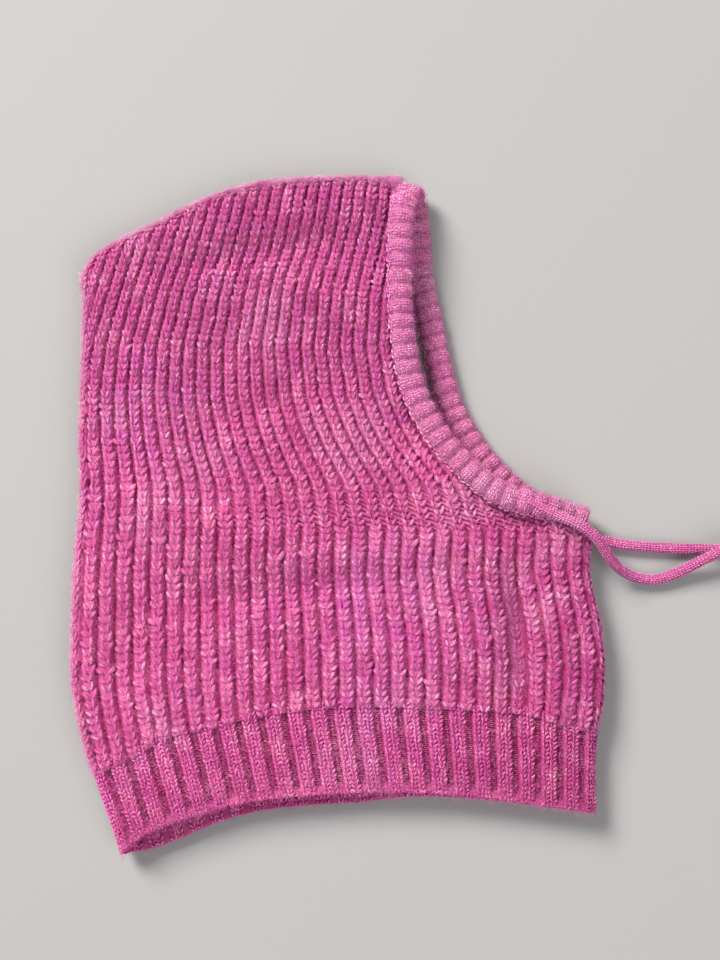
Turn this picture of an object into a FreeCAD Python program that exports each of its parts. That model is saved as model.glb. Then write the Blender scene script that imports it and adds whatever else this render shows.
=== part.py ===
"""A knitted balaclava with a drawcord, lying flat on its left side.

Millimetres. +Z is up off the table, +X points towards the face opening and +Y towards the crown.
The origin is under the middle of the hood's outline, on the table.
"""
import FreeCAD, Part
import math
import os
import Sketcher
from FreeCAD import Rotation, Vector

# Driving sizes. A share is a part of half the hood's width (x) or of half its height (y).
SIZES = {
    "hood_width": 282,
    "hood_height": 361,
    "fabric_thickness": 3.5,
    "head_gap": 10,
    "fold_width": 7,
    "casing_outer_diameter": 8.6,
    "casing_bore_clearance": 0.3,
    "cord_diameter": 5.5,
    "cord_end_gap": 0.5,
    "seam_diameter": 2.4,
    "throat_angle": 28,
    "cord_inside_run": 20,
    "tail_first_run": 22,
    "right_face_radius": 100,
    "left_temple_radius": 85,
    "left_cheek_radius": 133,
    "left_jaw_radius": 42,
    "band_curve_share": 1.17,
    "hem_back_curve_share": 0.33,
    "hem_front_curve_share": 0.9,
    "front_neck_curve_share": 0.62,
    "crown_curve_share": 1.15,
    "tail_notch_half_width": 4,
    "throat_relief": 9,
    "coil_x": 252,
    "coil_y": 15,
    "coil_outer_radius": 38.5,
    "coil_inner_radius": 19,
    "knot_diameter": 12,
}

# Landmarks on the outline, as shares of half the width and half the height.
LANDMARKS = {
    "back_hem": (-0.804, -1),
    "back_band": (-0.93, -0.726),
    "back_belly": (-1, -0.47),
    "back_nape": (-0.975, 0.03),
    "back_top": (-0.974, 0.696),
    "crown_back": (-0.894, 0.778),
    "crown_rise": (-0.33, 0.981),
    "crown_top": (0.05, 1),
    "crown_casing": (0.19, 0.998),
    "right_face": (0.238, 0.914),
    "left_face": (0.309, 0.914),
    "left_temple": (0.309, 0.72),
    "left_cheek": (0.455, 0.321),
    "right_exit": (0.785, -0.0044),
    "left_exit": (0.851, -0.03),
    "throat_tip": (0.969, 0.0133),
    "front_throat": (0.955, -0.13),
    "front_belly": (1, -0.422),
    "front_band": (0.977, -0.634),
    "front_hem": (0.958, -0.878),
    "hem_front": (0.31, -0.819),
    "hem_back": (-0.25, -0.837),
    "left_hem_front": (0.31, -0.835),
    "left_hem_back": (-0.397, -0.899),
}

# The drawcord's right tail from the end of its first run: over the front edge, down to the table,
# over the left tail in a low hump and on to the coil.
RIGHT_TAIL = [
    (134, -10.5, 23),
    (146, -28, 13),
    (156.5, -35, 5.5),
    (171, -38, 2.75),
    (186, -31.5, 5),
    (199, -24.3, 9.6),
    (214, -16.8, 9.6),
    (233, -14.2, 4),
    (252, -15, 2.75),
]
# The left tail leaves under the front edge and lies on the table all the way to the coil.
LEFT_TAIL = [
    (143, -16.8, 4),
    (168, -19.6, 2.9),
    (197, -20.6, 2.75),
    (225, -21.1, 2.75),
    (252, -20.8, 2.75),
]
# Where the two end knots lie in the coil.
RIGHT_KNOT = (234.4, 20.7, 6)
LEFT_KNOT = (235.6, -4.5, 6)

doc = FreeCAD.newDocument("balaclava")
sheet = doc.addObject("Spreadsheet::Sheet", "size")


def fill_sheet():
    """Write every size and landmark into its own named cell."""
    cells = dict(SIZES)
    for name, (x_share, y_share) in LANDMARKS.items():
        cells[name + "_x"] = x_share
        cells[name + "_y"] = y_share
    for row, (name, number) in enumerate(cells.items(), start=1):
        sheet.set(f"A{row}", name)
        sheet.set(f"B{row}", str(number))
        sheet.setAlias(f"B{row}", name)
    doc.recompute()


def number(expression):
    """The plain value of an expression over the sheet's cells."""
    return float(sheet.evalExpression(expression))


def at(landmark, shift_x="0", shift_y="0"):
    """The two expressions for a landmark's place, moved by a shift."""
    return (
        f"size.hood_width / 2 * size.{landmark}_x + {shift_x}",
        f"size.hood_height / 2 * size.{landmark}_y + {shift_y}",
    )


def along_throat(landmark, distance, aside="0"):
    """A place on the straight line that a tail leaves a landmark along, and so far below it."""
    x, y = at(landmark)
    ahead = f"({distance})"
    below = f"({aside})"
    return (
        f"{x} + {ahead} * cos(size.throat_angle) - {below} * sin(size.throat_angle)",
        f"{y} - {ahead} * sin(size.throat_angle) - {below} * cos(size.throat_angle)",
    )


def point(place, z=0):
    """A vector from a place's two expressions."""
    return Vector(number(place[0]), number(place[1]), z)


# Heights in the pile of two layers, and the casing's corner, as expressions.
LOWER_TOP = "size.fabric_thickness"
UPPER_BOTTOM = "(size.fabric_thickness + size.head_gap)"
UPPER_TOP = "(2 * size.fabric_thickness + size.head_gap)"
RIGHT_CASING_Z = f"({UPPER_TOP} + size.casing_outer_diameter / 2)"
LEFT_CASING_Z = "(size.casing_outer_diameter / 2)"
FACE_X = at("right_face")[0]
EXIT_X, EXIT_Y = at("right_exit")
RIGHT_CORNER = (FACE_X, f"{EXIT_Y} + ({EXIT_X} - ({FACE_X})) * tan(size.throat_angle)")
FACE_TANGENT = "size.right_face_radius * tan((90 - size.throat_angle) / 2)"
RIGHT_ARC_START = (FACE_X, f"{RIGHT_CORNER[1]} + {FACE_TANGENT}")
RIGHT_CORNER_TO_EXIT = f"({EXIT_X} - ({FACE_X})) / cos(size.throat_angle)"
RIGHT_ARC_END = along_throat("right_exit", f"{FACE_TANGENT} - ({RIGHT_CORNER_TO_EXIT})")
LEFT_JAW = along_throat("left_exit", "-35")


def arc_middle(start, end, radius, bulge_left):
    """The middle point of the arc of a radius between two points."""
    chord = end - start
    half = chord.Length / 2
    bow = radius - math.sqrt(radius ** 2 - half ** 2)
    normal = Vector(-chord.y, chord.x, 0).normalize()
    side = 1 if bulge_left else -1
    return (start + end) / 2 + normal * bow * side


def bind_point(sketch, geometry, vertex, place):
    """Tie a sketch point to a place's two expressions."""
    for kind, expression in (("DistanceX", place[0]), ("DistanceY", place[1])):
        value = number(expression)
        index = sketch.addConstraint(Sketcher.Constraint(kind, -1, 1, geometry, vertex, value))
        sketch.setExpression(f"Constraints[{index}]", expression)


def draw_outline(sketch, places, curves):
    """A closed outline through places; curves gives the radius and side of an edge that is an arc."""
    count = len(places)
    for index, place in enumerate(places):
        start = point(place)
        end = point(places[(index + 1) % count])
        if index in curves:
            radius, bulge_left = curves[index]
            middle = arc_middle(start, end, number(radius), bulge_left)
            arc = Part.Arc(start, middle, end)
            sketch.addGeometry(arc)
        else:
            sketch.addGeometry(Part.LineSegment(start, end))
    starts = []
    for index in range(count):
        # An arc runs anticlockwise in a sketch, so its first point may be the outline's next place.
        backwards = index in curves and curves[index][1]
        starts.append(2 if backwards else 1)
    for index in range(count):
        following = (index + 1) % count
        last = 3 - starts[index]
        sketch.addConstraint(
            Sketcher.Constraint("Coincident", index, last, following, starts[following])
        )
        bind_point(sketch, index, starts[index], places[index])
        if index in curves:
            radius = curves[index][0]
            limit = sketch.addConstraint(Sketcher.Constraint("Radius", index, number(radius)))
            sketch.setExpression(f"Constraints[{limit}]", radius)


def plate(name, places, curves, bottom, thickness):
    """A flat layer of fabric: an outline padded upwards from a height."""
    body = doc.addObject("PartDesign::Body", name + "_body")
    sketch = body.newObject("Sketcher::SketchObject", name + "_outline")
    table = [item for item in body.Origin.OriginFeatures if item.Role == "XY_Plane"][0]
    sketch.AttachmentSupport = (table, [""])
    sketch.MapMode = "FlatFace"
    draw_outline(sketch, places, curves)
    pad = body.newObject("PartDesign::Pad", name + "_pad")
    pad.Profile = sketch
    pad.setExpression("Length", thickness)
    body.setExpression("Placement.Base.z", bottom)
    return body


def strip(name, edge):
    """A narrow fold or seam between the two layers, along outline landmarks moved inwards."""
    outer = [at(landmark) for landmark, _, _ in edge]
    inner = [
        at(landmark, f"{dx} * size.fold_width", f"{dy} * size.fold_width")
        for landmark, dx, dy in edge
    ]
    places = outer + inner[::-1]
    return plate(name, places, {}, LOWER_TOP, "size.head_gap")


def path_sketch(name, places, radii, height):
    """A path of straight runs joined by tangent arcs, one radius for each corner between them."""
    sketch = doc.addObject("Sketcher::SketchObject", name)
    corners = [point(place) for place in places]
    for index in range(1, len(corners) - 1):
        sketch.addGeometry(Part.Point(corners[index]), True)
        bind_point(sketch, index - 1, 1, places[index])
    runs, arcs = run_and_arc_geometry(corners, [number(radius) for radius in radii])
    marks = len(places) - 2
    lines = [sketch.addGeometry(run) for run in runs]
    bends = [sketch.addGeometry(arc) for arc in arcs]
    bind_point(sketch, lines[0], 1, places[0])
    bind_point(sketch, lines[-1], 2, places[-1])
    for index in range(marks):
        for line in (lines[index], lines[index + 1]):
            sketch.addConstraint(Sketcher.Constraint("PointOnObject", index, 1, line))
        turn = cross_z(corners, index + 1)
        first, last = (1, 2) if turn > 0 else (2, 1)
        bend = bends[index]
        sketch.addConstraint(Sketcher.Constraint("Tangent", lines[index], 2, bend, first))
        sketch.addConstraint(Sketcher.Constraint("Tangent", lines[index + 1], 1, bend, last))
        limit = sketch.addConstraint(Sketcher.Constraint("Radius", bend, number(radii[index])))
        sketch.setExpression(f"Constraints[{limit}]", radii[index])
    sketch.setExpression("Placement.Base.z", height)
    return sketch


def cross_z(corners, index):
    """Which way the path turns at a corner: positive to the left."""
    before = corners[index] - corners[index - 1]
    after = corners[index + 1] - corners[index]
    return before.cross(after).z


def run_and_arc_geometry(corners, radii):
    """Straight runs and tangent arcs through corners, with a radius at each inner corner."""
    runs = []
    arcs = []
    start = corners[0]
    for index, radius in enumerate(radii, start=1):
        corner = corners[index]
        back = (corners[index - 1] - corner).normalize()
        ahead = (corners[index + 1] - corner).normalize()
        half_turn = (math.pi - back.getAngle(ahead)) / 2
        tangent = radius * math.tan(half_turn)
        arc_start = corner + back * tangent
        arc_end = corner + ahead * tangent
        to_centre = (back + ahead).normalize()
        middle = corner + to_centre * radius * (1 / math.cos(half_turn) - 1)
        runs.append(Part.LineSegment(start, arc_start))
        arcs.append(Part.Arc(arc_start, middle, arc_end))
        start = arc_end
    runs.append(Part.LineSegment(start, corners[-1]))
    return runs, arcs


def swept(name, path, start, height, diameter):
    """A round solid swept along a path sketch that starts towards -Y."""
    circle = doc.addObject("Part::Circle", name + "_section")
    circle.Placement.Rotation = Rotation(Vector(1, 0, 0), 90)
    circle.setExpression("Radius", f"({diameter}) / 2")
    circle.setExpression("Placement.Base.x", start[0])
    circle.setExpression("Placement.Base.y", start[1])
    circle.setExpression("Placement.Base.z", height)
    doc.recompute()
    sweep = doc.addObject("Part::Sweep", name)
    sweep.Sections = [circle]
    sweep.Spine = (path, [f"Edge{index + 1}" for index in range(len(path.Shape.Edges))])
    sweep.Solid = True
    return sweep


def cut(name, base, tool):
    """One solid with another taken out of it."""
    result = doc.addObject("Part::Cut", name)
    result.Base = base
    result.Tool = tool
    return result


BORE = "(size.cord_diameter + 2 * size.casing_bore_clearance)"


def casing(name, places, radii, height):
    """One side's casing tube; returns the tube and the solid rod of its outside."""
    path = path_sketch(name + "_path", places, radii, height)
    rod = swept(name + "_rod", path, places[0], height, "size.casing_outer_diameter")
    bore = swept(name + "_bore", path, places[0], height, BORE)
    return cut(name, rod, bore), rod


def seam(name, places, radii, casing_height, fabric_height):
    """The raised row of stitches that links a casing to its side of the hood."""
    height = f"({fabric_height} + size.seam_diameter / 2)"
    rise = f"({casing_height} - {height})"
    reach = f"((size.casing_outer_diameter + size.seam_diameter) / 2)"
    aside = f"sqrt(({reach}) ^ 2 - ({rise}) ^ 2)"
    moved = offset_path(places, aside)
    wider = [f"{radius} + {aside}" for radius in radii]
    path = path_sketch(name + "_path", moved, wider, height)
    return swept(name, path, moved[0], height, "size.seam_diameter")


def offset_path(places, aside):
    """A path's places moved sideways, to the body's side, each along the mitre of its corner."""
    corners = [point(place) for place in places]
    moved = []
    for index, place in enumerate(places):
        before = corners[index] - corners[index - 1] if index else corners[1] - corners[0]
        after = corners[index + 1] - corners[index] if index + 1 < len(corners) else before
        before.normalize()
        after.normalize()
        right = Vector(before.y, -before.x, 0) + Vector(after.y, -after.x, 0)
        mitre = right / (1 + before.dot(after))
        moved.append((f"{place[0]} + {mitre.x} * {aside}", f"{place[1]} + {mitre.y} * {aside}"))
    return moved


RIGHT_PATH = [at("right_face"), RIGHT_CORNER, at("right_exit")]
RIGHT_RADII = ["size.right_face_radius"]
LEFT_PATH = [at("left_face"), at("left_temple"), at("left_cheek"), LEFT_JAW, at("left_exit")]
LEFT_RADII = ["size.left_temple_radius", "size.left_cheek_radius", "size.left_jaw_radius"]


def crown_turn_frame():
    """The middle, radius and tilt of the half turn that joins the casings over the crown."""
    upper = point(at("right_face"), number(RIGHT_CASING_Z))
    lower = point(at("left_face"), number(LEFT_CASING_Z))
    across = lower - upper
    tilt = math.degrees(math.atan2(-across.z, across.x)) - 180
    return (upper + lower) / 2, across.Length / 2, tilt


def half_torus(name, diameter):
    """A half ring over the crown of a given thickness."""
    middle, radius, tilt = crown_turn_frame()
    ring = doc.addObject("Part::Torus", name)
    ring.Placement = FreeCAD.Placement(middle, Rotation(Vector(0, 1, 0), tilt))
    across_x = f"({at('left_face')[0]} - ({at('right_face')[0]}))"
    across_z = f"({RIGHT_CASING_Z} - {LEFT_CASING_Z})"
    ring.setExpression("Radius1", f"sqrt({across_x} ^ 2 + {across_z} ^ 2) / 2")
    ring.setExpression("Radius2", f"({diameter}) / 2")
    ring.Angle3 = 180
    return ring


def hull_sides(rods):
    """The two flat sides of the hood, above the neck band."""
    back = ["back_band", "back_belly", "back_nape", "back_top", "crown_back"]
    crown = ["crown_rise", "crown_top", "crown_casing"]
    shared = [at(landmark) for landmark in back + crown]
    front = [at(landmark) for landmark in ("front_throat", "front_belly", "front_band")]
    crown_radius = "size.crown_curve_share * size.hood_height"
    front_neck = "size.front_neck_curve_share * size.hood_height"
    band = "size.band_curve_share * size.hood_height"
    face = [at("right_face"), RIGHT_ARC_START, RIGHT_ARC_END, at("right_exit")]
    tip = at("throat_tip", "-size.throat_relief")
    relieved = at("front_throat", "-size.throat_relief / 2")
    places = shared + face + [tip, relieved] + front[1:]
    curves = {
        4: (crown_radius, True),
        9: ("size.right_face_radius", False),
        13: (front_neck, True),
        15: (band, False),
    }
    right = plate("hood_right_side", places, curves, UPPER_BOTTOM, "size.fabric_thickness")
    left_face = [at("left_face"), at("left_temple"), at("left_cheek"), LEFT_JAW, at("left_exit")]
    notch = [
        along_throat("left_exit", "0", "size.tail_notch_half_width"),
        along_throat("left_exit", "14", "size.tail_notch_half_width"),
    ]
    places = shared + left_face + notch + front
    curves = {
        4: (crown_radius, True),
        15: (front_neck, True),
        17: (band, False),
    }
    left = plate("hood_left_side", places, curves, "0", "size.fabric_thickness")
    return right, trimmed("hood_left_side", left, rods)


def trimmed(name, base, rods):
    """A layer with the room for the casings taken out of it."""
    for index, rod in enumerate(rods):
        base = cut(f"{name}_trim_{index}", base, rod)
    return base


def neck_bands():
    """The two sides of the ribbed neck band."""
    band = "size.band_curve_share * size.hood_height"
    hem_back = "size.hem_back_curve_share * size.hood_height"
    hem_front = "size.hem_front_curve_share * size.hood_height"
    bands = []
    for name, bottom, prefix in (("right", UPPER_BOTTOM, ""), ("left", "0", "left_")):
        landmarks = ["back_hem", "back_band", "front_band", "front_hem"]
        landmarks += [prefix + "hem_front", prefix + "hem_back"]
        places = [at(landmark) for landmark in landmarks]
        curves = {1: (band, True), 3: (hem_front, False), 5: (hem_back, False)}
        bands.append(
            plate(f"neck_band_{name}", places, curves, bottom, "size.fabric_thickness")
        )
    return bands


def cord_wire(corners, radii):
    """One wire of straight runs and tangent arcs."""
    runs, arcs = run_and_arc_geometry(corners, radii)
    edges = []
    for index, run in enumerate(runs):
        edges.append(run.toShape())
        if index < len(arcs):
            edges.append(arcs[index].toShape())
    return Part.Wire(edges)


def wide_radii(corners):
    """The largest tangent arc at each inner corner of a free cord's route."""
    radii = []
    for index in range(1, len(corners) - 1):
        before = corners[index] - corners[index - 1]
        after = corners[index + 1] - corners[index]
        half_turn = before.getAngle(after) / 2
        radii.append(0.45 * min(before.Length, after.Length) / math.tan(half_turn))
    return radii


def cord_solid(name, wire):
    """A round cord swept along a wire, as a feature of its own."""
    first = wire.Edges[0]
    start = first.Vertexes[0].Point
    direction = first.tangentAt(first.FirstParameter)
    radius = number("size.cord_diameter") / 2
    circle = Part.Wire(Part.makeCircle(radius, start, direction))
    solid = wire.makePipeShell([circle], True, False)
    feature = doc.addObject("Part::Feature", name)
    feature.Shape = solid
    expected = math.pi * radius ** 2 * wire.Length
    print(f"{name}: {wire.Length:.1f} mm long, volume {solid.Volume / expected:.4f} of its section")
    return feature


def tail(side, height, route):
    """A free tail of the drawcord, straight through its casing's end and on to the coil."""
    inside = point(along_throat(f"{side}_exit", "-size.cord_inside_run"), number(height))
    run_end = "size.tail_first_run - size.cord_inside_run"
    first = point(along_throat(f"{side}_exit", run_end), number(height))
    corners = [inside, first] + [Vector(*place) for place in route]
    radii = wide_radii(corners)
    print(side, "tail radii", [round(radius, 1) for radius in radii])
    print(side, "tail points", [tuple(round(value, 2) for value in corner) for corner in corners])
    return cord_solid(f"drawcord_tail_{side}", cord_wire(corners, radii))


def cord_in_casing():
    """The drawcord's hidden stretch, round the face from one tail's start to the other's."""
    held = "-size.cord_inside_run - size.cord_end_gap"
    right_z = number(RIGHT_CASING_Z)
    left_z = number(LEFT_CASING_Z)
    right_start = point(along_throat("right_exit", held), right_z)
    left_end = point(along_throat("left_exit", held), left_z)
    upper = [right_start, point(RIGHT_CORNER, right_z), point(at("right_face"), right_z)]
    lower = [point(place, left_z) for place in LEFT_PATH[:-1]] + [left_end]
    runs, arcs = run_and_arc_geometry(upper, [number(RIGHT_RADII[0])])
    edges = [runs[0], arcs[0], runs[1]]
    middle, radius, _ = crown_turn_frame()
    edges.append(Part.Arc(upper[-1], middle + Vector(0, radius, 0), lower[0]))
    runs, arcs = run_and_arc_geometry(lower, [number(radius) for radius in LEFT_RADII])
    for index, run in enumerate(runs):
        edges.append(run)
        if index < len(arcs):
            edges.append(arcs[index])
    wire = Part.Wire([edge.toShape() for edge in edges])
    return cord_solid("drawcord_in_casing", wire)


def coil():
    """The outer shape of the tails' last turns, wound flat on the table."""
    rings = []
    for part in ("outer", "inner"):
        ring = doc.addObject("Part::Cylinder", f"coil_{part}")
        ring.setExpression("Radius", f"size.coil_{part}_radius")
        ring.setExpression("Height", "size.cord_diameter")
        ring.setExpression("Placement.Base.x", "size.coil_x")
        ring.setExpression("Placement.Base.y", "size.coil_y")
        rings.append(ring)
    return cut("drawcord_coil", *rings)


def knot(side, place):
    """The overhand knot that ends a tail."""
    ball = doc.addObject("Part::Sphere", f"knot_{side}")
    ball.setExpression("Radius", "size.knot_diameter / 2")
    ball.Placement.Base = Vector(*place)
    return ball


def build():
    """Every node by name."""
    nodes = {}
    nodes["casing_right"], _ = casing("casing_right", RIGHT_PATH, RIGHT_RADII, RIGHT_CASING_Z)
    nodes["casing_left"], left_rod = casing("casing_left", LEFT_PATH, LEFT_RADII, LEFT_CASING_Z)
    turn_rod = half_torus("crown_turn_rod", "size.casing_outer_diameter")
    nodes["casing_crown_turn"] = cut("casing_crown_turn", turn_rod, half_torus("turn_bore", BORE))
    nodes["casing_seam_right"] = seam(
        "casing_seam_right", RIGHT_PATH, RIGHT_RADII, RIGHT_CASING_Z, UPPER_TOP
    )
    nodes["casing_seam_left"] = seam(
        "casing_seam_left", LEFT_PATH, LEFT_RADII, LEFT_CASING_Z, LOWER_TOP
    )
    nodes["hood_right_side"], nodes["hood_left_side"] = hull_sides([left_rod, turn_rod])
    nodes["neck_band_right"], nodes["neck_band_left"] = neck_bands()
    nodes["hood_back_fold"] = strip(
        "hood_back_fold",
        [("back_band", 1, 0), ("back_belly", 1, 0), ("back_nape", 1, 0), ("back_top", 1, 0)],
    )
    nodes["crown_seam"] = strip(
        "crown_seam",
        [
            ("back_top", 1, 0),
            ("crown_back", 0.7, -0.9),
            ("crown_rise", 0.2, -1),
            ("crown_top", 0, -1),
            ("crown_casing", 0, -1),
        ],
    )
    nodes["hood_front_fold"] = strip(
        "hood_front_fold",
        [("front_throat", -1, 0), ("front_belly", -1, 0), ("front_band", -1, 0)],
    )
    nodes["neck_band_back_fold"] = strip(
        "neck_band_back_fold", [("back_hem", 1, 1), ("back_band", 1, 0)]
    )
    nodes["neck_band_front_fold"] = strip(
        "neck_band_front_fold", [("front_band", -1, 0), ("front_hem", -1, 0)]
    )
    nodes["drawcord_in_casing"] = cord_in_casing()
    nodes["drawcord_tail_right"] = tail("right", RIGHT_CASING_Z, RIGHT_TAIL)
    nodes["drawcord_tail_left"] = tail("left", LEFT_CASING_Z, LEFT_TAIL)
    nodes["drawcord_coil"] = coil()
    nodes["knot_right"] = knot("right", RIGHT_KNOT)
    nodes["knot_left"] = knot("left", LEFT_KNOT)
    return nodes


def export(nodes):
    """Check every object and write each node's solid."""
    doc.recompute()
    for item in doc.Objects:
        bad = {"Invalid", "Error"} & set(item.State)
        if bad:
            raise SystemExit(f"{item.Name} is {bad}")
    os.makedirs("parts", exist_ok=True)
    for name, node in nodes.items():
        node.Label = name
        shape = node.Shape
        if shape.isNull() or not shape.isValid() or len(shape.Solids) != 1:
            raise SystemExit(f"{name} is not one valid solid: {len(shape.Solids)}")
        box = shape.optimalBoundingBox(False)
        print(
            f"{name}: {shape.Volume:.0f} mm3,"
            f" x {box.XMin:.1f} to {box.XMax:.1f}, y {box.YMin:.1f} to {box.YMax:.1f},"
            f" z {box.ZMin:.1f} to {box.ZMax:.1f}"
        )
        shape.exportStep(f"parts/{name}.step")


fill_sheet()
export(build())
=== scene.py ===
import math

import bpy
import numpy as np
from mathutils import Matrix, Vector


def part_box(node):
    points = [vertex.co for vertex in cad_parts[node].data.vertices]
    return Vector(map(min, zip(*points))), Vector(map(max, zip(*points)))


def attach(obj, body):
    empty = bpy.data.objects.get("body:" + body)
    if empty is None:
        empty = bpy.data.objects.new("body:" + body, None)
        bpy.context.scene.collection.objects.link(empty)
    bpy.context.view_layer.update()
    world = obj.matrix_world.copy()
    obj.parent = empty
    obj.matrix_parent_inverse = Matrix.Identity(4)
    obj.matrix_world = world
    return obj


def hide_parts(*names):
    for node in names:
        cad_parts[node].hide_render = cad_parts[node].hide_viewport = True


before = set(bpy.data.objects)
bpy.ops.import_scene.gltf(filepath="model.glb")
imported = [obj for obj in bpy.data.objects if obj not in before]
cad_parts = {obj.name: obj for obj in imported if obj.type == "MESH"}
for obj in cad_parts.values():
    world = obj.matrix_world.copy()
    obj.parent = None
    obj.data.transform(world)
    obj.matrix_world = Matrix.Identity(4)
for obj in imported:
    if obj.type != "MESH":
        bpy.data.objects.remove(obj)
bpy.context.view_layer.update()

bl_info = {
    "name": "Knitted balaclava",
    "version": (1, 0, 0),
    "blender": (4, 5, 0),
    "location": "3D View > Sidebar > Balaclava",
    "description": "A knitted balaclava with a drawcord, laid flat",
    "category": "Object",
}

MM = 0.001
RNG = np.random.default_rng(7)


def box_mm(node):
    """A CAD node's lowest and highest corners, in millimetres."""
    low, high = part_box(node)
    return np.array(low) / MM, np.array(high) / MM


SIDE_LOW, SIDE_HIGH = box_mm("hood_right_side")
BAND_LOW, _ = box_mm("neck_band_right")
HALF_WIDTH = SIDE_HIGH[0]
HALF_HEIGHT = SIDE_HIGH[1]
HOOD_TOP = SIDE_HIGH[2]
MIDDLE_Z = HOOD_TOP / 2

# Outlines as shares of half the hood's width (x) and height (y), from the hem up or outwards.
BACK_EDGE = [
    (-0.804, -1.0), (-0.838, -0.922), (-0.894, -0.804), (-0.932, -0.716), (-0.97, -0.599),
    (-0.995, -0.481), (-0.993, -0.245), (-0.985, -0.1), (-0.97, 0.049), (-0.977, 0.196),
    (-0.974, 0.343), (-0.97, 0.49), (-0.97, 0.637), (-0.974, 0.7),
]
CROWN = [
    (-0.955, 0.742), (-0.894, 0.785), (-0.706, 0.858), (-0.518, 0.931), (-0.33, 0.978),
    (-0.141, 0.995), (0.047, 1.0), (0.235, 0.996), (0.3, 0.985),
]
CASING_LINE = [
    (0.196, 1.1), (0.19, 0.95), (0.187, 0.77), (0.194, 0.649), (0.201, 0.54), (0.213, 0.425),
    (0.243, 0.34), (0.281, 0.263), (0.341, 0.193), (0.409, 0.131), (0.48, 0.069),
    (0.555, 0.025), (0.635, -0.007), (0.713, -0.031), (0.84, -0.06), (0.958, -0.084),
]
FRONT_EDGE = [
    (0.962, -0.02), (0.958, -0.084), (0.951, -0.187), (0.981, -0.305), (1.0, -0.422),
    (0.995, -0.54), (0.977, -0.628), (0.966, -0.716), (0.958, -0.878), (0.956, -0.95),
]
BAND_LINE = [
    (-0.96, -0.75), (-0.879, -0.725), (-0.793, -0.699), (-0.684, -0.655), (-0.597, -0.634),
    (-0.499, -0.622), (-0.326, -0.586), (-0.179, -0.569), (-0.028, -0.557), (0.235, -0.555),
    (0.469, -0.563), (0.687, -0.575), (0.902, -0.618), (1.02, -0.634),
]
RIGHT_HEM = [
    (-0.84, -1.0), (-0.80, -0.992), (-0.729, -0.946), (-0.612, -0.905), (-0.499, -0.878),
    (-0.397, -0.855), (-0.254, -0.837), (-0.107, -0.828), (0.077, -0.819), (0.311, -0.819),
    (0.537, -0.834), (0.763, -0.858), (0.958, -0.878), (1.0, -0.88),
]
LEFT_HEM = [
    (-0.84, -1.01), (-0.78, -1.0), (-0.699, -0.989), (-0.612, -0.966), (-0.499, -0.928),
    (-0.397, -0.899), (-0.281, -0.878), (-0.107, -0.863), (0.077, -0.855), (0.35, -0.838),
    (0.763, -0.862), (0.958, -0.878), (1.0, -0.88),
]

# The rib number at the fabric's back edge, by height.
BACK_RIBS = [
    (-1, 0), (0.343, 0), (0.49, -0.4), (0.637, -1.5), (0.72, -2.3), (0.887, -3.9), (1.1, -5.6),
]
RIB_NUMBERS = (-6, 32)
# The body's rib pitch in millimetres above the throat, by height; below it 32 ribs fill the width.
RIBS_BELOW = 32
RIB_PITCH = [
    (0.0, 8.66), (0.069, 8.5), (0.13, 8.2), (0.2, 7.85), (0.27, 7.55), (0.343, 7.3), (0.49, 6.96),
    (0.637, 6.72), (0.887, 6.5), (1.1, 6.25),
]

# The casing's middle line: shares along the hood, then its height, half width and half thickness
# in millimetres. It runs from the throat up the right side, over the crown and down the left.
FULL_RIGHT = (20.5, 6.6, 4.7)
FULL_LEFT = (4.8, 6.6, 4.3)
CASING_RIGHT = [
    (0.945, -0.026, 12.5, 5.6, 3.0), (0.87, -0.008, 14.5, 6.2, 3.2), (0.80, 0.006, 17.5, 6.6, 3.9),
    (0.72, 0.022, 20, 6.5, 4.6),
    *((*place, *FULL_RIGHT) for place in [
        (0.63, 0.042), (0.552, 0.08), (0.48, 0.13), (0.412, 0.187), (0.367, 0.236),
        (0.324, 0.293), (0.287, 0.36), (0.262, 0.44), (0.246, 0.545), (0.239, 0.65), (0.238, 0.76),
    ]),
    (0.243, 0.858, 20.3, 6.5, 4.6), (0.252, 0.91, 19.6, 6.8, 4.2), (0.263, 0.95, 16.6, 6.6, 4.2),
]
CASING_LEFT = [
    (0.279, 0.96, 12.4, 6.6, 4.2), (0.292, 0.95, 8.4, 6.6, 4.2), (0.303, 0.91, 5.6, 6.6, 4.2),
    (0.309, 0.85, 4.9, 6.6, 4.3),
    *((*place, *FULL_LEFT) for place in [
        (0.323, 0.709), (0.363, 0.548), (0.394, 0.432), (0.436, 0.316), (0.507, 0.211),
        (0.593, 0.128), (0.675, 0.066), (0.766, 0.016),
    ]),
    (0.86, -0.01, 6.8, 6, 3.6), (0.945, -0.026, 9.5, 5.6, 3.0),
]

# The drawcord's routes in metres: the same points as the cord's solids, then the coil's turns.
RIGHT_TAIL = [
    (0.09303, 0.0086, 0.0213), (0.11245, -0.00173, 0.0213), (0.134, -0.0105, 0.023),
    (0.146, -0.028, 0.013), (0.1565, -0.035, 0.0055), (0.171, -0.038, 0.00275),
    (0.186, -0.0315, 0.005), (0.199, -0.0243, 0.0096), (0.214, -0.0168, 0.0096),
    (0.233, -0.0142, 0.004), (0.252, -0.015, 0.00275),
]
LEFT_TAIL = [
    (0.10233, 0.00397, 0.0043), (0.12176, -0.00635, 0.0043), (0.143, -0.0168, 0.004),
    (0.168, -0.0196, 0.0029), (0.197, -0.0206, 0.00275), (0.225, -0.0211, 0.00275),
    (0.252, -0.0208, 0.00275),
]
COIL_CENTRE = (0.252, 0.015)
EXITS = {"right": (0.11069, -0.00079, 0.0213), "left": (0.11999, -0.00542, 0.0043)}


# ---------------------------------------------------------------- curves and the hood's form


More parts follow.
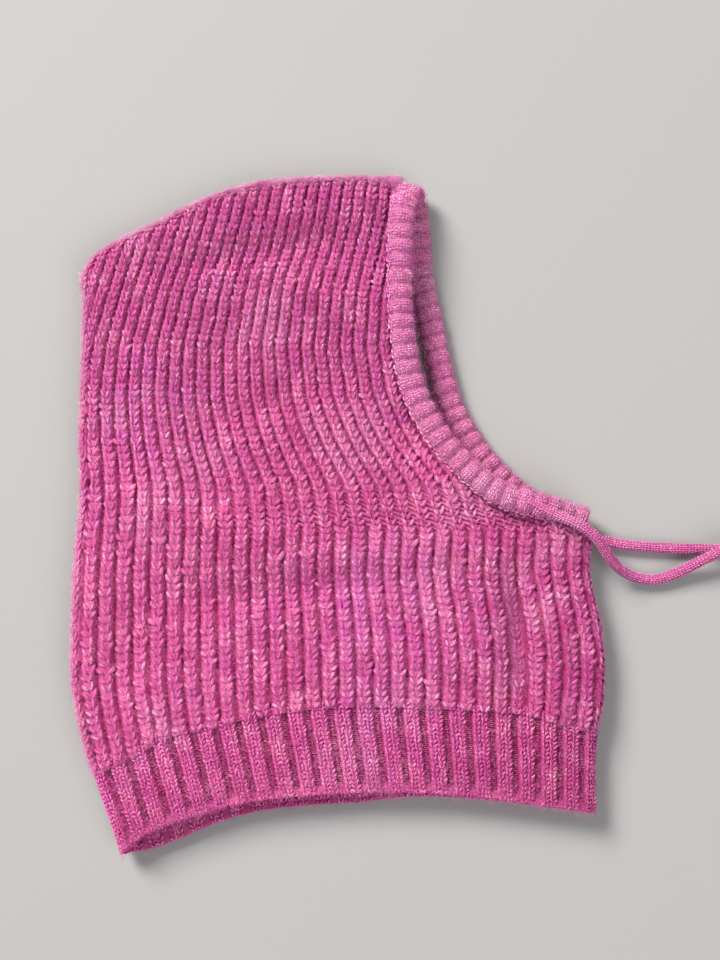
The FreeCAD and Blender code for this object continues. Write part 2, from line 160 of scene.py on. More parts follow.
def smooth_line(points, step=1.5):
    """A smooth curve through points, read at even steps along its length, in millimetres."""
    knots = np.array(points, float)
    padded = np.vstack([2 * knots[0] - knots[1], knots, 2 * knots[-1] - knots[-2]])
    spans = []
    t = np.linspace(0, 1, 16, endpoint=False)[:, None]
    for index in range(len(knots) - 1):
        a, b, c, d = padded[index:index + 4]
        spans.append(
            0.5 * (2 * b + (c - a) * t + (2 * a - 5 * b + 4 * c - d) * t**2
                   + (3 * b - a - 3 * c + d) * t**3)
        )
    line = np.vstack(spans + [knots[-1:]])
    return even(line, step)


def even(line, step):
    """A polyline read again at even steps along its length."""
    run = np.r_[0, np.cumsum(np.linalg.norm(np.diff(line[:, :3], axis=0), axis=1))]
    at = np.linspace(0, run[-1], max(2, round(run[-1] / step) + 1))
    return np.column_stack([np.interp(at, run, column) for column in line.T])


def outline(shares):
    """A smooth outline in millimetres from its shares of the hood."""
    return smooth_line(np.array(shares) * (HALF_WIDTH, HALF_HEIGHT))


def smoothstep(low, high, value):
    """0 below low, 1 above high, and smooth between them."""
    t = np.clip((value - low) / (high - low), 0, 1)
    return t * t * (3 - 2 * t)


def unit(vectors):
    """Vectors at length one."""
    return vectors / np.maximum(np.linalg.norm(vectors, axis=-1, keepdims=True), 1e-9)


def grid(columns, rows, indexing="xy"):
    """Every pairing of two sets of values, as two flat lists."""
    return (each.ravel() for each in np.meshgrid(columns, rows, indexing=indexing))


def off_rib(number):
    """How far a rib number lies from its rib's middle: 0 there and 1 in the furrow."""
    return np.abs(number - np.floor(number) - 0.5) * 2


# The radius the fabric turns with at its edges, and how much flat cloth that turn takes up.
CURL_RADIUS = 8.0
CURL = (math.pi / 2 - 1) * CURL_RADIUS
FLOOR_GAP = 0.05
# The width and row height that a stitch's leg is drawn at, before it is scaled to its place.
LEG_SCALE = (6.5, 3.6, 1)
BODY_LOW = -0.575 * HALF_HEIGHT


def turned_edge(line):
    """An edge the fabric turns round: its flat line, and its inward normals."""
    tangent = unit(np.gradient(line, axis=0))
    inward = np.column_stack([tangent[:, 1], -tangent[:, 0]])
    for _ in range(3):
        inward[1:-1] = unit(inward[:-2] + 2 * inward[1:-1] + inward[2:])
    return line - inward * CURL, inward


BACK_LINE = outline(BACK_EDGE)
CROWN_LINE = outline(BACK_EDGE[-1:] + CROWN)
FRONT_LINE = outline(FRONT_EDGE)
CASING_SEAM = outline(CASING_LINE)
BAND_TOP = outline(BAND_LINE)
HEMS = {1: outline(RIGHT_HEM), -1: outline(LEFT_HEM)}
EDGES = [turned_edge(outline(BACK_EDGE + CROWN)), turned_edge(FRONT_LINE)]
UNDER_CASING = 6.0
CLOTH_END = CASING_SEAM + UNDER_CASING * unit(
    np.gradient(CASING_SEAM, axis=0)[:, ::-1] * (-1, 1)
)
THROAT_Y = CLOTH_END[-1, 1]


def by_height(table, y):
    """A value of a table of (share of half the height, value) at heights in millimetres."""
    heights, values = np.array(table, float).T
    return np.interp(y, heights * HALF_HEIGHT, values)


def turn_in(x, y):
    """How far inside the nearest turned edge a flat place lies, and that edge's inward normal."""
    places = np.column_stack([x, y]).astype(np.float32)
    inside = np.full(len(x), 1e3)
    normal = np.zeros((len(x), 2))
    nearest = np.full(len(x), 1e6)
    for flat, inward in EDGES:
        line = flat.astype(np.float32)
        for start in range(0, len(x), 20000):
            part = slice(start, start + 20000)
            gap = ((places[part, None, :] - line[None]) ** 2).sum(axis=2)
            index = gap.argmin(axis=1)
            distance = np.sqrt(gap[np.arange(len(index)), index])
            depth = ((places[part] - flat[index]) * inward[index]).sum(axis=1)
            better = distance < nearest[part]
            nearest[part] = np.where(better, distance, nearest[part])
            inside[part] = np.where(better, depth, inside[part])
            normal[part] = np.where(better[:, None], inward[index], normal[part])
    return inside, normal


# Soft folds in the upper side: x, y, reach across and along, turn in degrees, height.
SOFT_FOLDS = [
    (96, -68, 7, 42, 3, -6.1),
    (116, -60, 9, 40, 0, 2.9),
    (78, -60, 9, 36, 4, 2.3),
    (-4, 112, 40, 14, -12, 4.9),
    (-45, 140, 60, 9, 12, -4.6),
    (8, 140, 34, 9, 0, -4.3),
    (38, 38, 22, 9, -48, -4.9),
    (56, 18, 22, 8, -48, 2.9),
    (-60, -10, 70, 16, -10, 3.8),
    (-20, -42, 80, 10, 6, -3.8),
    (-95, 60, 16, 60, 4, 2.9),
    (-62, 80, 10, 50, -8, -2.6),
    (50, -78, 30, 14, 0, 3.2),
    (-110, -70, 12, 34, -10, -2.9),
    (75, -22, 26, 10, -20, 3.5),
    (-30, 60, 40, 10, 20, -2.3),
]


def fold_height(x, y):
    """The soft folds' height at a place on the upper side."""
    total = np.zeros(len(x))
    for fold_x, fold_y, across, along, turn, height in SOFT_FOLDS:
        angle = math.radians(turn)
        dx = x - fold_x
        dy = y - fold_y
        u = (dx * math.cos(angle) + dy * math.sin(angle)) / across
        v = (dy * math.cos(angle) - dx * math.sin(angle)) / along
        total += height * np.exp(-(u**2 + v**2))
    return total


def tail_room(x, y):
    """The lowest height that clears the left tail where it leaves under the front edge."""
    start = np.array(EXITS["left"][:2]) / MM
    end = np.array(LEFT_TAIL[2][:2]) / MM
    along = unit(end - start)
    offset = np.column_stack([x, y]) - start
    ahead = offset @ along
    aside = np.abs(offset @ np.array([-along[1], along[0]]))
    return 8.6 * smoothstep(-9, 0, ahead) * (1 - smoothstep(3.6, 9, aside))


def lift(x, y, side):
    """A flat place turned in at the hood's edges and raised to its side of the pile."""
    inside, normal = turn_in(x, y)
    inside = np.maximum(inside, -1.5)
    angle = np.minimum(inside / CURL_RADIUS, math.pi / 2)
    depth = np.where(
        inside < CURL_RADIUS * math.pi / 2, CURL_RADIUS * (1 - np.cos(angle)), inside - CURL
    )
    shift = CURL + depth - inside
    flat_x = x + normal[:, 0] * shift
    flat_y = y + normal[:, 1] * shift
    fullness = np.sin(angle)
    if side > 0:
        height = MIDDLE_Z + (HOOD_TOP - 0.9 - MIDDLE_Z) * fullness
        height += fold_height(flat_x, flat_y) * fullness**2
    else:
        height = MIDDLE_Z - (MIDDLE_Z - 1.9) * fullness
        height = np.maximum(height, tail_room(flat_x, flat_y))
    return np.column_stack([flat_x, flat_y, height])


def edge_lines(y):
    """The flat fabric's left and right limits at a height."""
    left = np.interp(y, BACK_LINE[:, 1], BACK_LINE[:, 0]) - CURL
    seam = np.interp(y, CLOTH_END[::-1, 1], CLOTH_END[::-1, 0])
    seam = seam + CURL * (1 - smoothstep(THROAT_Y, THROAT_Y + 10, y))
    front = np.interp(y, FRONT_LINE[::-1, 1], FRONT_LINE[::-1, 0]) + CURL
    return left, np.where(y > THROAT_Y, seam, front)


THROAT_WIDTH = float(np.subtract(*[edge[0] for edge in edge_lines(np.array([THROAT_Y]))[::-1]]))


def rib_limits(y):
    """The first and last rib numbers at heights, the flat left edge and the ribs' pitch."""
    left, right = edge_lines(y)
    first = by_height(BACK_RIBS, y)
    throat = (THROAT_Y / HALF_HEIGHT, THROAT_WIDTH / RIBS_BELOW)
    pitch = np.where(y > THROAT_Y, by_height([throat] + RIB_PITCH, y), (right - left) / RIBS_BELOW)
    return first, first + (right - left) / pitch, left, pitch


def body_flat(rib, y):
    """The flat place along the hood of a rib number at a height."""
    first, _, left, pitch = rib_limits(y)
    return left + (rib - first) * pitch


def row_bend(x, y):
    """Heights moved so that the lowest rows run along the top of the neck band."""
    top = -0.555 * HALF_HEIGHT
    near = 1 - smoothstep(top, top + 150, y)
    return y + (np.interp(x, BAND_TOP[:, 0], BAND_TOP[:, 1]) - top) * near


def crown_height(x):
    """How high the flat fabric reaches before it turns at the crown."""
    return np.interp(x, CROWN_LINE[:, 0], CROWN_LINE[:, 1]) + CURL


def place_body(rib, y, side):
    """A rib number and a row height on the hood's body, as a place in millimetres."""
    height = row_bend(body_flat(rib, y), y)
    x = body_flat(rib, height)
    height = np.minimum(height, crown_height(x))
    place = lift(x, height, side)
    seam = np.interp(height, CASING_SEAM[::-1, 1], CASING_SEAM[::-1, 0])
    near = np.exp(-(((seam - x) / 7) ** 2)) * (height > THROAT_Y)
    place[:, 2] -= side * 1.4 * near
    return place


BAND_RIBS = 23
BAND_DEPTH = 48.0
SIDES = ((1, "right"), (-1, "left"))


def place_band(rib, down, side):
    """A rib number and a share of the way down on the neck band, as a place in millimetres."""
    hem = HEMS[side]
    share = rib / BAND_RIBS
    top = band_limits(BAND_TOP, share)
    low = band_limits(hem, share)
    flat = top + (low - top) * down[:, None]
    place = lift(flat[:, 0], flat[:, 1], side)
    place[:, 2] -= side * (0.8 + 0.5 * smoothstep(0.8, 1, down))
    return place


def band_limits(line, share):
    """Places at a share of the way along a line, between the hood's flat back and front edges."""
    left, right = edge_lines(line[:, 1])
    first = np.argmax(line[:, 0] > left)
    last = len(line) - 1 - np.argmax((line[:, 0] < right)[::-1])
    part = line[first:last + 1]
    run = np.r_[0, np.cumsum(np.linalg.norm(np.diff(part, axis=0), axis=1))]
    at = share * run[-1]
    return np.column_stack([np.interp(at, run, part[:, 0]), np.interp(at, run, part[:, 1])])


def frames(place_at, u, v, side, step_u=0.12, step_v=0.8):
    """Places, directions across, along and outwards, and the surface's growth with u and v."""
    across = (place_at(u + step_u, v, side) - place_at(u - step_u, v, side)) / (2 * step_u)
    along = (place_at(u, v + step_v, side) - place_at(u, v - step_v, side)) / (2 * abs(step_v))
    pitch = np.linalg.norm(across, axis=1)
    growth = np.linalg.norm(along, axis=1)
    across = unit(across)
    along = unit(along - across * (along * across).sum(axis=1, keepdims=True))
    out = np.cross(across, along) * side
    return place_at(u, v, side), across, along, out, pitch, growth


# ---------------------------------------------------------------- meshes


def part(verts, faces, tone=None, yarn=None):
    """Vertices in millimetres with their faces, and the values the material reads at each."""
    count = len(verts)
    tone = np.zeros((count, 3)) if tone is None else tone
    yarn = np.asarray(verts) if yarn is None else yarn
    return {"verts": np.asarray(verts), "faces": faces, "tone": tone, "yarn": yarn}


def make_mesh(name, parts, outer=1):
    """A mesh object in metres from parts, with its colour map laid out as the piece lies."""
    verts = np.concatenate([one["verts"] for one in parts]).astype(np.float32)
    verts[:, 2] = np.maximum(verts[:, 2], FLOOR_GAP)
    corners, sizes = [], []
    base = 0
    for one in parts:
        for group in one["faces"]:
            corners.append((group + base).ravel())
            sizes.append(np.full(len(group), group.shape[1]))
        base += len(one["verts"])
    corners = np.concatenate(corners).astype(np.int32)
    sizes = np.concatenate(sizes).astype(np.int32)
    mesh = bpy.data.meshes.new(name)
    mesh.vertices.add(len(verts))
    mesh.vertices.foreach_set("co", (verts * MM).ravel())
    mesh.loops.add(len(corners))
    mesh.loops.foreach_set("vertex_index", corners)
    mesh.polygons.add(len(sizes))
    starts = np.concatenate([[0], np.cumsum(sizes)[:-1]]).astype(np.int32)
    mesh.polygons.foreach_set("loop_start", starts)
    mesh.polygons.foreach_set("loop_total", sizes)
    mesh.polygons.foreach_set("use_smooth", np.ones(len(sizes), bool))
    mesh.update(calc_edges=True)
    for label in ("tone", "yarn"):
        values = np.concatenate([one[label] for one in parts]).astype(np.float32)
        layer = mesh.attributes.new(label, "FLOAT_VECTOR", "POINT")
        layer.data.foreach_set("vector", values.ravel())
    flat_map(mesh, verts, corners, sizes, outer)
    piece = bpy.data.objects.new(name, mesh)
    bpy.context.scene.collection.objects.link(piece)
    return piece


def add_piece(pieces, name, parts, yarn, side=1, nodes=()):
    """Make a piece of a yarn and list it, in place of the frame's nodes that it stands for."""
    piece = make_mesh(name, parts, side)
    if nodes:
        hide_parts(*nodes)
    pieces.append((piece, yarn))
    return piece


def flat_map(mesh, verts, corners, sizes, outer):
    """The colour map: outer faces as they lie, and the others in a corner of their own."""
    normal = np.empty(len(sizes) * 3, np.float32)
    mesh.polygons.foreach_get("normal", normal)
    shown = np.repeat(normal.reshape(-1, 3)[:, 2] * outer > 0, sizes)
    low = verts.min(axis=0)[:2]
    span = (verts.max(axis=0)[:2] - low).max()
    places = (verts[corners, :2] - low) / span
    places = np.where(shown[:, None], places * 0.995, places * 0.12 + (0.87, 0.0))
    layer = mesh.uv_layers.new(name="OFBake")
    layer.data.foreach_set("uv", places.astype(np.float32).ravel())


def grid_faces(rows, columns, wrap=False):
    """Quads of a grid whose vertices are stored row by row."""
    row, column = np.meshgrid(np.arange(rows - 1), np.arange(columns - (not wrap)), indexing="ij")
    after = (column + 1) % columns
    quads = [row * columns + column, row * columns + after,
             (row + 1) * columns + after, (row + 1) * columns + column]
    return np.stack(quads, axis=-1).reshape(-1, 4)


def tube(rings, ends, shade):
    """A closed tube from rings of places and its two end places; shade is its painted shade."""
    rows, sides = rings.shape[:2]
    count = rows * sides
    ring = np.arange(sides)
    after = (ring + 1) % sides
    caps = np.concatenate([
        np.stack([np.full(sides, count), after, ring], axis=1),
        np.stack([np.full(sides, count + 1), count - sides + ring, count - sides + after], axis=1),
    ])
    tone = np.zeros((count + 2, 3))
    tone[:, 2] = shade
    quads = grid_faces(rows, sides, wrap=True)
    return part(np.vstack([rings.reshape(-1, 3), ends]), [quads, caps], tone)


def leg_template(rings, sides):
    """A stitch's plump leg, right of its middle, in shares of width, row and plumpness."""
    top, low = np.array([2.85, 2.30, -1.05]), np.array([0.42, -2.10, -0.10])
    share = np.linspace(0, 1, rings + 2)[:, None]
    bow = np.sin(math.pi * share)
    middle = top + (low - top) * share + bow * (0.25, 0, 0.65)
    axis = unit(low - top)
    beside = unit(np.cross(axis, [0, 0, 1]))
    above = np.cross(beside, axis)
    turn = (np.arange(sides) * 2 * math.pi / sides)[:, None]
    ring = beside * np.cos(turn) * 0.84 + above * np.sin(turn) * 0.95
    swollen = middle[1:-1, None] + ring * bow[1:-1, None] ** 0.5
    verts = np.vstack([middle[:1], swollen.reshape(-1, 3), middle[-1:]])
    last = len(verts) - 1
    side = np.arange(sides)
    after = (side + 1) % sides
    caps = np.stack([side * 0, 1 + side, 1 + after,
                     side * 0 + last, last - sides + after, last - sides + side], axis=1)
    caps = caps.reshape(-1, 3)
    quads = grid_faces(rings, sides, wrap=True)[:, [0, 3, 2, 1]] + 1
    return verts / LEG_SCALE, caps, quads


FULL_LEG = leg_template(4, 6)
SMALL_LEG = leg_template(3, 5)
TINY_LEG = leg_template(2, 4)


# How far a stitch strays from the regular: shares of its sizes, and its turn in radians.
STRAY_WIDTH, STRAY_HEIGHT, STRAY_PLUMP, STRAY_TURN, STRAY_LEAN = 0.05, 0.06, 0.07, 0.07, 0.1
SHIFT_ACROSS, SHIFT_ALONG, SHIFT_OUT = 0.028, 0.05, 0.12


def stitches(centre, across, along, out, width, height, plump, leg=FULL_LEG, wild=1.0, sunk=0.0):
    """Knit stitches, two legs each, at places with their directions and sizes."""
    template, caps, quads = leg
    count = len(centre)
    width, height, plump = (
        np.broadcast_to(size, count) * (1 + stray * wild * RNG.standard_normal(count))
        for size, stray in ((width, STRAY_WIDTH), (height, STRAY_HEIGHT), (plump, STRAY_PLUMP))
    )
    turn = STRAY_TURN * wild * RNG.standard_normal(count)[:, None]
    turned_across = across * np.cos(turn) + along * np.sin(turn)
    turned_along = along * np.cos(turn) - across * np.sin(turn)
    centre = centre + sum(
        way * RNG.standard_normal((count, 1)) * shift * size[:, None]
        for way, shift, size in ((across, SHIFT_ACROSS, width), (along, SHIFT_ALONG, height),
                                 (out, SHIFT_OUT, plump))
    )
    verts, tones, yarns, caps_all, quads_all = [], [], [], [], []
    base = 0
    tone = RNG.standard_normal(count)
    hue = RNG.standard_normal(count)
    for mirror in (1, -1):
        local = template * (mirror, 1, 1)
        lean = 1 + STRAY_LEAN * wild * RNG.standard_normal(count)
        shape = (
            centre[:, None]
            + turned_across[:, None] * (local[None, :, 0:1] * (width * lean)[:, None, None])
            + turned_along[:, None] * (local[None, :, 1:2] * height[:, None, None])
            + out[:, None] * (local[None, :, 2:3] * plump[:, None, None])
        )
        verts.append(shape.reshape(-1, 3))
        leg_tone = tone + 0.5 * RNG.standard_normal(count)
        # The third value is the leg's height less sunk. The material paints low values towards a
        # deep painted shade: shade between the stitches and, with sunk, in the furrows.
        attributes = np.stack(
            np.broadcast_arrays(
                leg_tone[:, None], hue[:, None],
                template[None, :, 2] - np.reshape(sunk, (-1, 1)),
            ),
            axis=-1,
        )
        tones.append(attributes.reshape(-1, 3))
        shift = RNG.uniform(0, 90, count)
        yarn = np.stack(
            [
                shift[:, None] + local[None, :, 1] * height[:, None],
                mirror * 0.5 * local[None, :, 1] + local[None, :, 0] * width[:, None],
                local[None, :, 2] * plump[:, None],
            ],
            axis=-1,
        )
        yarns.append(yarn.reshape(-1, 3))
        offsets = base + np.arange(count)[:, None, None] * len(template)
        flip = slice(None, None, mirror)
        caps_all.append((offsets + caps[None]).reshape(-1, 3)[:, flip])
        quads_all.append((offsets + quads[None]).reshape(-1, 4)[:, flip])
        base += count * len(template)
    return part(
        np.concatenate(verts),
        [np.concatenate(caps_all), np.concatenate(quads_all)],
        np.concatenate(tones),
        np.concatenate(yarns),
    )


def shell(place_at, columns, rows, thickness, side, dip, upward=1):
    """A closed sheet of fabric: its outer face follows the ribs and its inner one lies smooth."""
    u, v = grid(columns, rows)
    step = (columns[1] - columns[0]) / 2, upward * (rows[1] - rows[0]) / 2
    surface, _, _, out, _, _ = frames(place_at, u, v, side, *step)
    sunk = dip(u, v)
    outer = surface - out * sunk[:, None]
    inner = outer - out * thickness
    count = len(outer)
    faces = grid_faces(len(rows), len(columns))
    border = np.concatenate([
        np.arange(len(columns)),
        np.arange(1, len(rows)) * len(columns) + len(columns) - 1,
        (len(rows) - 1) * len(columns) + np.arange(len(columns) - 2, -1, -1),
        np.arange(len(rows) - 2, 0, -1) * len(columns),
    ])
    after = np.roll(border, -1)
    rim = np.stack([after, border, border + count, after + count], axis=1)
    back = faces[:, ::-1] + count
    quads = np.concatenate([faces, back, rim])
    if side < 0:
        quads = quads[:, ::-1]
    # Painted shade: the outer face is painted darker the deeper it sinks between the ribs, and the
    # inner face darker still.
    tone = np.zeros((2 * count, 3))
    tone[:, 2] = np.r_[0.3 - 0.55 * sunk, np.full(count, -0.4)]
    return part(np.concatenate([outer, inner]), [quads], tone)


# ---------------------------------------------------------------- the hood's knitting


ROWS_FROM = -0.56 * HALF_HEIGHT
ROWS_TO = 1.03 * HALF_HEIGHT


def on_body(ribs, levels, at_back, at_front, at_crown):
    """Which rib numbers and heights lie on the body, clear of its edges by some ribs or height."""
    first, last, _, _ = rib_limits(levels)
    return ((ribs > first + at_back) & (ribs < last - at_front)
            & (levels < crown_height(body_flat(ribs, levels)) - at_crown))


def body_stitches(side, row_height, share, wild):
    """Every rib stitch of one side of the body: places, directions and sizes."""
    ribs, levels = grid(np.arange(*RIB_NUMBERS) + 0.5, np.arange(ROWS_FROM, ROWS_TO, row_height))
    # Neighbouring ribs' rows lie at slightly different heights.
    levels = levels + 0.4 * np.sin(ribs * 12.9898) * row_height
    keep = on_body(ribs, levels, 0.12, 0.2, 0.3)
    centre, across, along, out, pitch, growth = frames(place_body, ribs[keep], levels[keep], side)
    return centre, across, along, out, pitch * share, growth * row_height


def rib_and_level(share, level):
    """The rib number and height at a share of the way across the body and up to its crown."""
    top = np.full(len(share), 0.8 * HALF_HEIGHT)
    for _ in range(14):
        first, last, _, _ = rib_limits(top)
        top = 0.5 * (top + crown_height(body_flat(first + (last - first) * share, top)))
    height = BODY_LOW + level * (top - BODY_LOW)
    first, last, _, _ = rib_limits(height)
    return first + (last - first) * share, height


def body_by_share(share, level, side):
    """A place on the body by shares of its width and height."""
    return place_body(*rib_and_level(share, level), side)


def body_dip(share, level):
    """How deep the fabric lies below its ribs' tops."""
    return 0.35 + 1.9 * smoothstep(0.6, 0.95, off_rib(rib_and_level(share, level)[0]))


# The fabrics' thickness, and where each side's knitting is split into a back and a front piece.
BODY_CLOTH = 2.2
BAND_CLOTH = 2.0
SPLIT_X = -18
# How deep the purl bumps lie below the ribs' tops.
PURL_DEPTH = 1.9


def make_body(settings):
    """The hood's body: both sides' fabric and all their knitting."""
    pieces = []
    shares = np.linspace(0, 1, 257)
    levels = np.linspace(0, 1, 118)
    for side, word in SIDES:
        cloth = shell(body_by_share, shares, levels, BODY_CLOTH, side, body_dip)
        add_piece(pieces, f"hood_fabric_{word}", [cloth], "body", side, [f"hood_{word}_side"])
        centre, across, along, out, width, height = body_stitches(
            side, settings.row_height / MM, settings.stitch_share, settings.looseness
        )
        at_back = centre[:, 0] < SPLIT_X
        for name, keep in (("back", at_back), ("front", ~at_back)):
            knit = stitches(
                centre[keep], across[keep], along[keep], out[keep], width[keep], height[keep],
                1.0, FULL_LEG if side > 0 else SMALL_LEG, settings.looseness,
            )
            add_piece(pieces, f"hood_knit_{word}_{name}", [knit], "body", side)
        add_piece(pieces, f"hood_purl_{word}", [purl_bars(side, settings)], "shaded_purl", side)
        count = settings.fuzz if side > 0 else settings.fuzz // 2
        for layer in ("a", "b"):
            fuzz = body_fuzz(side, count)
            add_piece(pieces, f"hood_fuzz_{word}_{layer}", [fuzz], "fuzz", side)
    return pieces


def purl_bars(side, settings):
    """The purl bumps in the furrows between the body's ribs."""
    row = settings.row_height / MM
    ribs, levels = grid(np.arange(*RIB_NUMBERS, 1.0), np.arange(ROWS_FROM, ROWS_TO, row))
    keep = on_body(ribs, levels, 0.1, 0.1, 0.3)
    centre, across, along, out, pitch, growth = frames(place_body, ribs[keep], levels[keep], side)
    # Their last value paints the purl bumps further into shade.
    return stitches(
        centre - out * PURL_DEPTH, along, -across, out, growth * row * 0.95, pitch * 0.3,
        0.5, TINY_LEG, 1.4, 0.8,
    )


# Loose fibres' length, rise and half width in millimetres.
BODY_FIBRE = (3.4, 1.5, 0.07)
BAND_FIBRE = (3.6, 0.9, 0.07)
CASING_FIBRE = (3.2, 0.7, 0.075)


def fibres(start, across, along, out, size, painted_highlight=0.0):
    """Loose fibres of the brushed yarn: thin closed spindles, each bent once in its middle."""
    count = len(start)
    length, rise, width = size
    turn = (RNG.normal(math.pi / 2, 0.9, count) + math.pi * RNG.integers(0, 2, count))[:, None]
    ahead = across * np.cos(turn) + along * np.sin(turn)
    beside = along * np.cos(turn) - across * np.sin(turn)
    length = (length * RNG.lognormal(0, 0.35, count))[:, None]
    bend = RNG.normal(0, 0.22, count)[:, None] * length
    high = np.abs(RNG.normal(0.4, 0.5, count))[:, None] * rise
    tip = np.abs(RNG.normal(0.3, 0.7, count))[:, None] * rise
    middle = start + ahead * length * 0.5 + beside * bend + out * high
    end = start + ahead * length + out * tip
    verts = [start]
    for side_turn in (math.pi / 2, math.pi * 7 / 6, math.pi * 11 / 6):
        verts.append(middle + beside * (width * math.cos(side_turn))
                     + out * (width * math.sin(side_turn)))
    verts.append(end)
    verts = np.stack(verts, axis=1)
    faces = np.array([[0, 1, 2], [0, 2, 3], [0, 3, 1], [4, 2, 1], [4, 3, 2], [4, 1, 3]])
    faces = (np.arange(count)[:, None, None] * 5 + faces[None]).reshape(-1, 3)
    tone = RNG.standard_normal((count, 3)) * (1, 1, 0)
    # A painted highlight: these fibres' tone is raised so that they are painted paler.
    tone[:, 0] += painted_highlight
    tone = np.repeat(tone, 5, axis=0)
    tone[:, 2] = 0.9
    return part(verts.reshape(-1, 3), [faces], tone)


def body_fuzz(side, count):
    """The fuzz on the body's ribs, with a share along its back and crown painted paler as a painted
    highlight.
    """
    levels = RNG.uniform(ROWS_FROM, ROWS_TO, 2 * count)
    ribs = RNG.uniform(*RIB_NUMBERS, 2 * count)
    keep = on_body(ribs, levels, 0, 0.1, 0.02)
    ribs, levels = ribs[keep][:count], levels[keep][:count]
    ribs = np.floor(ribs) + 0.5 + 0.85 * (ribs - np.floor(ribs) - 0.5)
    halo = count // 4
    first, last, _, _ = rib_limits(levels[:halo])
    near = RNG.uniform(0, 1, halo) ** 2
    at_back = np.arange(halo) % 3 == 0
    ribs[:halo] = np.where(at_back, first + 0.02 + 0.8 * near, ribs[:halo])
    top = crown_height(body_flat(ribs[:halo], np.full(halo, 0.85 * HALF_HEIGHT)))
    top = crown_height(body_flat(ribs[:halo], top)) - 0.3
    levels[:halo] = np.where(at_back, np.minimum(levels[:halo], top - 8), top - 7 * near)
    first, last, _, _ = rib_limits(levels)
    ribs = np.clip(ribs, first + 0.05, last - 0.25)
    levels = np.minimum(levels, crown_height(body_flat(ribs, levels)) - 0.3)
    centre, across, along, out, _, _ = frames(place_body, ribs, levels, side)
    painted_highlight = np.where(np.arange(count) < halo, 3.5, 0.0)
    return fibres(centre + out * 0.5, across, along, out, BODY_FIBRE, painted_highlight)


BAND_WALES = (-0.165, 0.165)
FOLD_WALES = (0.03, BAND_RIBS - 0.03)


def band_frames(ribs, down, side, step=0.06):
    """The frames of places on the neck band, with their rows running down to the hem."""
    return frames(place_band, ribs, down, side, step, -0.012)


def band_ribs(side, settings, inner=False):
    """The neck band's knit wales on one side, or on its inner face near the hem."""
    row = settings.band_row / MM
    rows = round(BAND_DEPTH / row)
    ribs, steps = grid(np.arange(BAND_RIBS), np.arange(rows + 1))
    down = (steps + 0.5) / (rows + 1)
    if inner:
        keep = down > 0.68
        ribs, down = ribs[keep], down[keep]
    knit = []
    for wale in BAND_WALES:
        rib = ribs + 0.5 + wale + (0.5 if inner else 0)
        if inner:
            keep = rib < BAND_RIBS
            rib, depth = rib[keep], down[keep]
        else:
            depth = down
        centre, across, along, out, pitch, growth = band_frames(rib, depth, side)
        if inner:
            centre[:, 2] += 3.4
            out = -out
            across = -across
        knit.append(stitches(
            centre, across, along, out, pitch * 0.335, growth / (rows + 1) * 1.02,
            0.72, SMALL_LEG, settings.looseness,
        ))
    if not inner:
        for fold in FOLD_WALES:
            down = (np.arange(rows) + 0.5) / (rows + 1)
            centre, across, along, out, _, growth = band_frames(
                np.full(rows, fold), down, side, 0.03
            )
            knit.append(stitches(centre, across, along, out, 3.6, growth / (rows + 1) * 1.02,
                                 0.6, SMALL_LEG, settings.looseness))
        ribs, steps = grid(np.arange(1.0, BAND_RIBS), np.arange(rows - 1))
        centre, across, along, out, pitch, growth = band_frames(
            ribs, (steps + 0.5) / (rows + 1), side
        )
        # The purl bumps between the band's ribs; their last value paints them further into shade.
        knit.append(stitches(
            centre - out * PURL_DEPTH, along, -across, out, growth / (rows + 1) * 0.95, pitch * 0.3,
            0.45, TINY_LEG, 1.4, 0.8,
        ))
    return knit


def band_fuzz(side, count):
    """The fuzz on the neck band, thickest at its hem."""
    ribs = RNG.uniform(0, BAND_RIBS, count)
    down = 1 - RNG.uniform(0, 1, count) ** 1.6
    centre, across, along, out, _, _ = band_frames(ribs, down, side)
    return fibres(centre + out * 0.4, across, along, out, BAND_FIBRE)


def cast_on(side, settings):
    """The cast-on edge: small stitches side by side along the hem."""
    count = round(BAND_RIBS * 3.2)
    ribs = (np.arange(count) + 0.5) / count * BAND_RIBS
    knit = []
    centre, across, along, out, pitch, _ = band_frames(ribs, np.full(count, 0.985), side)
    knit.append(stitches(
        centre - out * 0.3, across, along, out, pitch * BAND_RIBS / count * 1.1, 1.9,
        0.6, SMALL_LEG, 2.0,
    ))
    for depth in (0.6, 1.9):
        knit.append(stitches(
            centre - along * 0.7 - out * depth, across, out, -along,
            pitch * BAND_RIBS / count * 1.15, 1.8, 0.62, SMALL_LEG, 2.0,
        ))
    return knit


def make_band(settings):
    """The neck band: its fabric, its two-by-two ribs and its cast-on edge."""
    pieces = []
    for side, word in SIDES:
        columns = np.linspace(0, BAND_RIBS, BAND_RIBS * 10 + 1)
        rows = np.linspace(-0.02, 1, 34)

        def dip(rib, down):
            ease = 1 - smoothstep(0.88, 0.96, down)
            return 0.7 + 2.1 * smoothstep(0.56, 0.86, off_rib(rib)) * ease

        cloth = shell(place_band, columns, rows, BAND_CLOTH, side, dip, -1)
        cloth["faces"] = [group[:, ::-1] for group in cloth["faces"]]
        add_piece(pieces, f"neck_band_fabric_{word}", [cloth], "band", side, [f"neck_band_{word}"])
        knit = band_ribs(side, settings) + cast_on(side, settings)
        if side < 0:
            knit += band_ribs(side, settings, inner=True)
        add_piece(pieces, f"neck_band_knit_{word}", knit, "band", side)
        fuzz = band_fuzz(side, settings.fuzz // 3 if side > 0 else settings.fuzz // 5)
        add_piece(pieces, f"neck_band_fuzz_{word}", [fuzz], "fuzz", side)
    return pieces


# ---------------------------------------------------------------- the casing and the seams


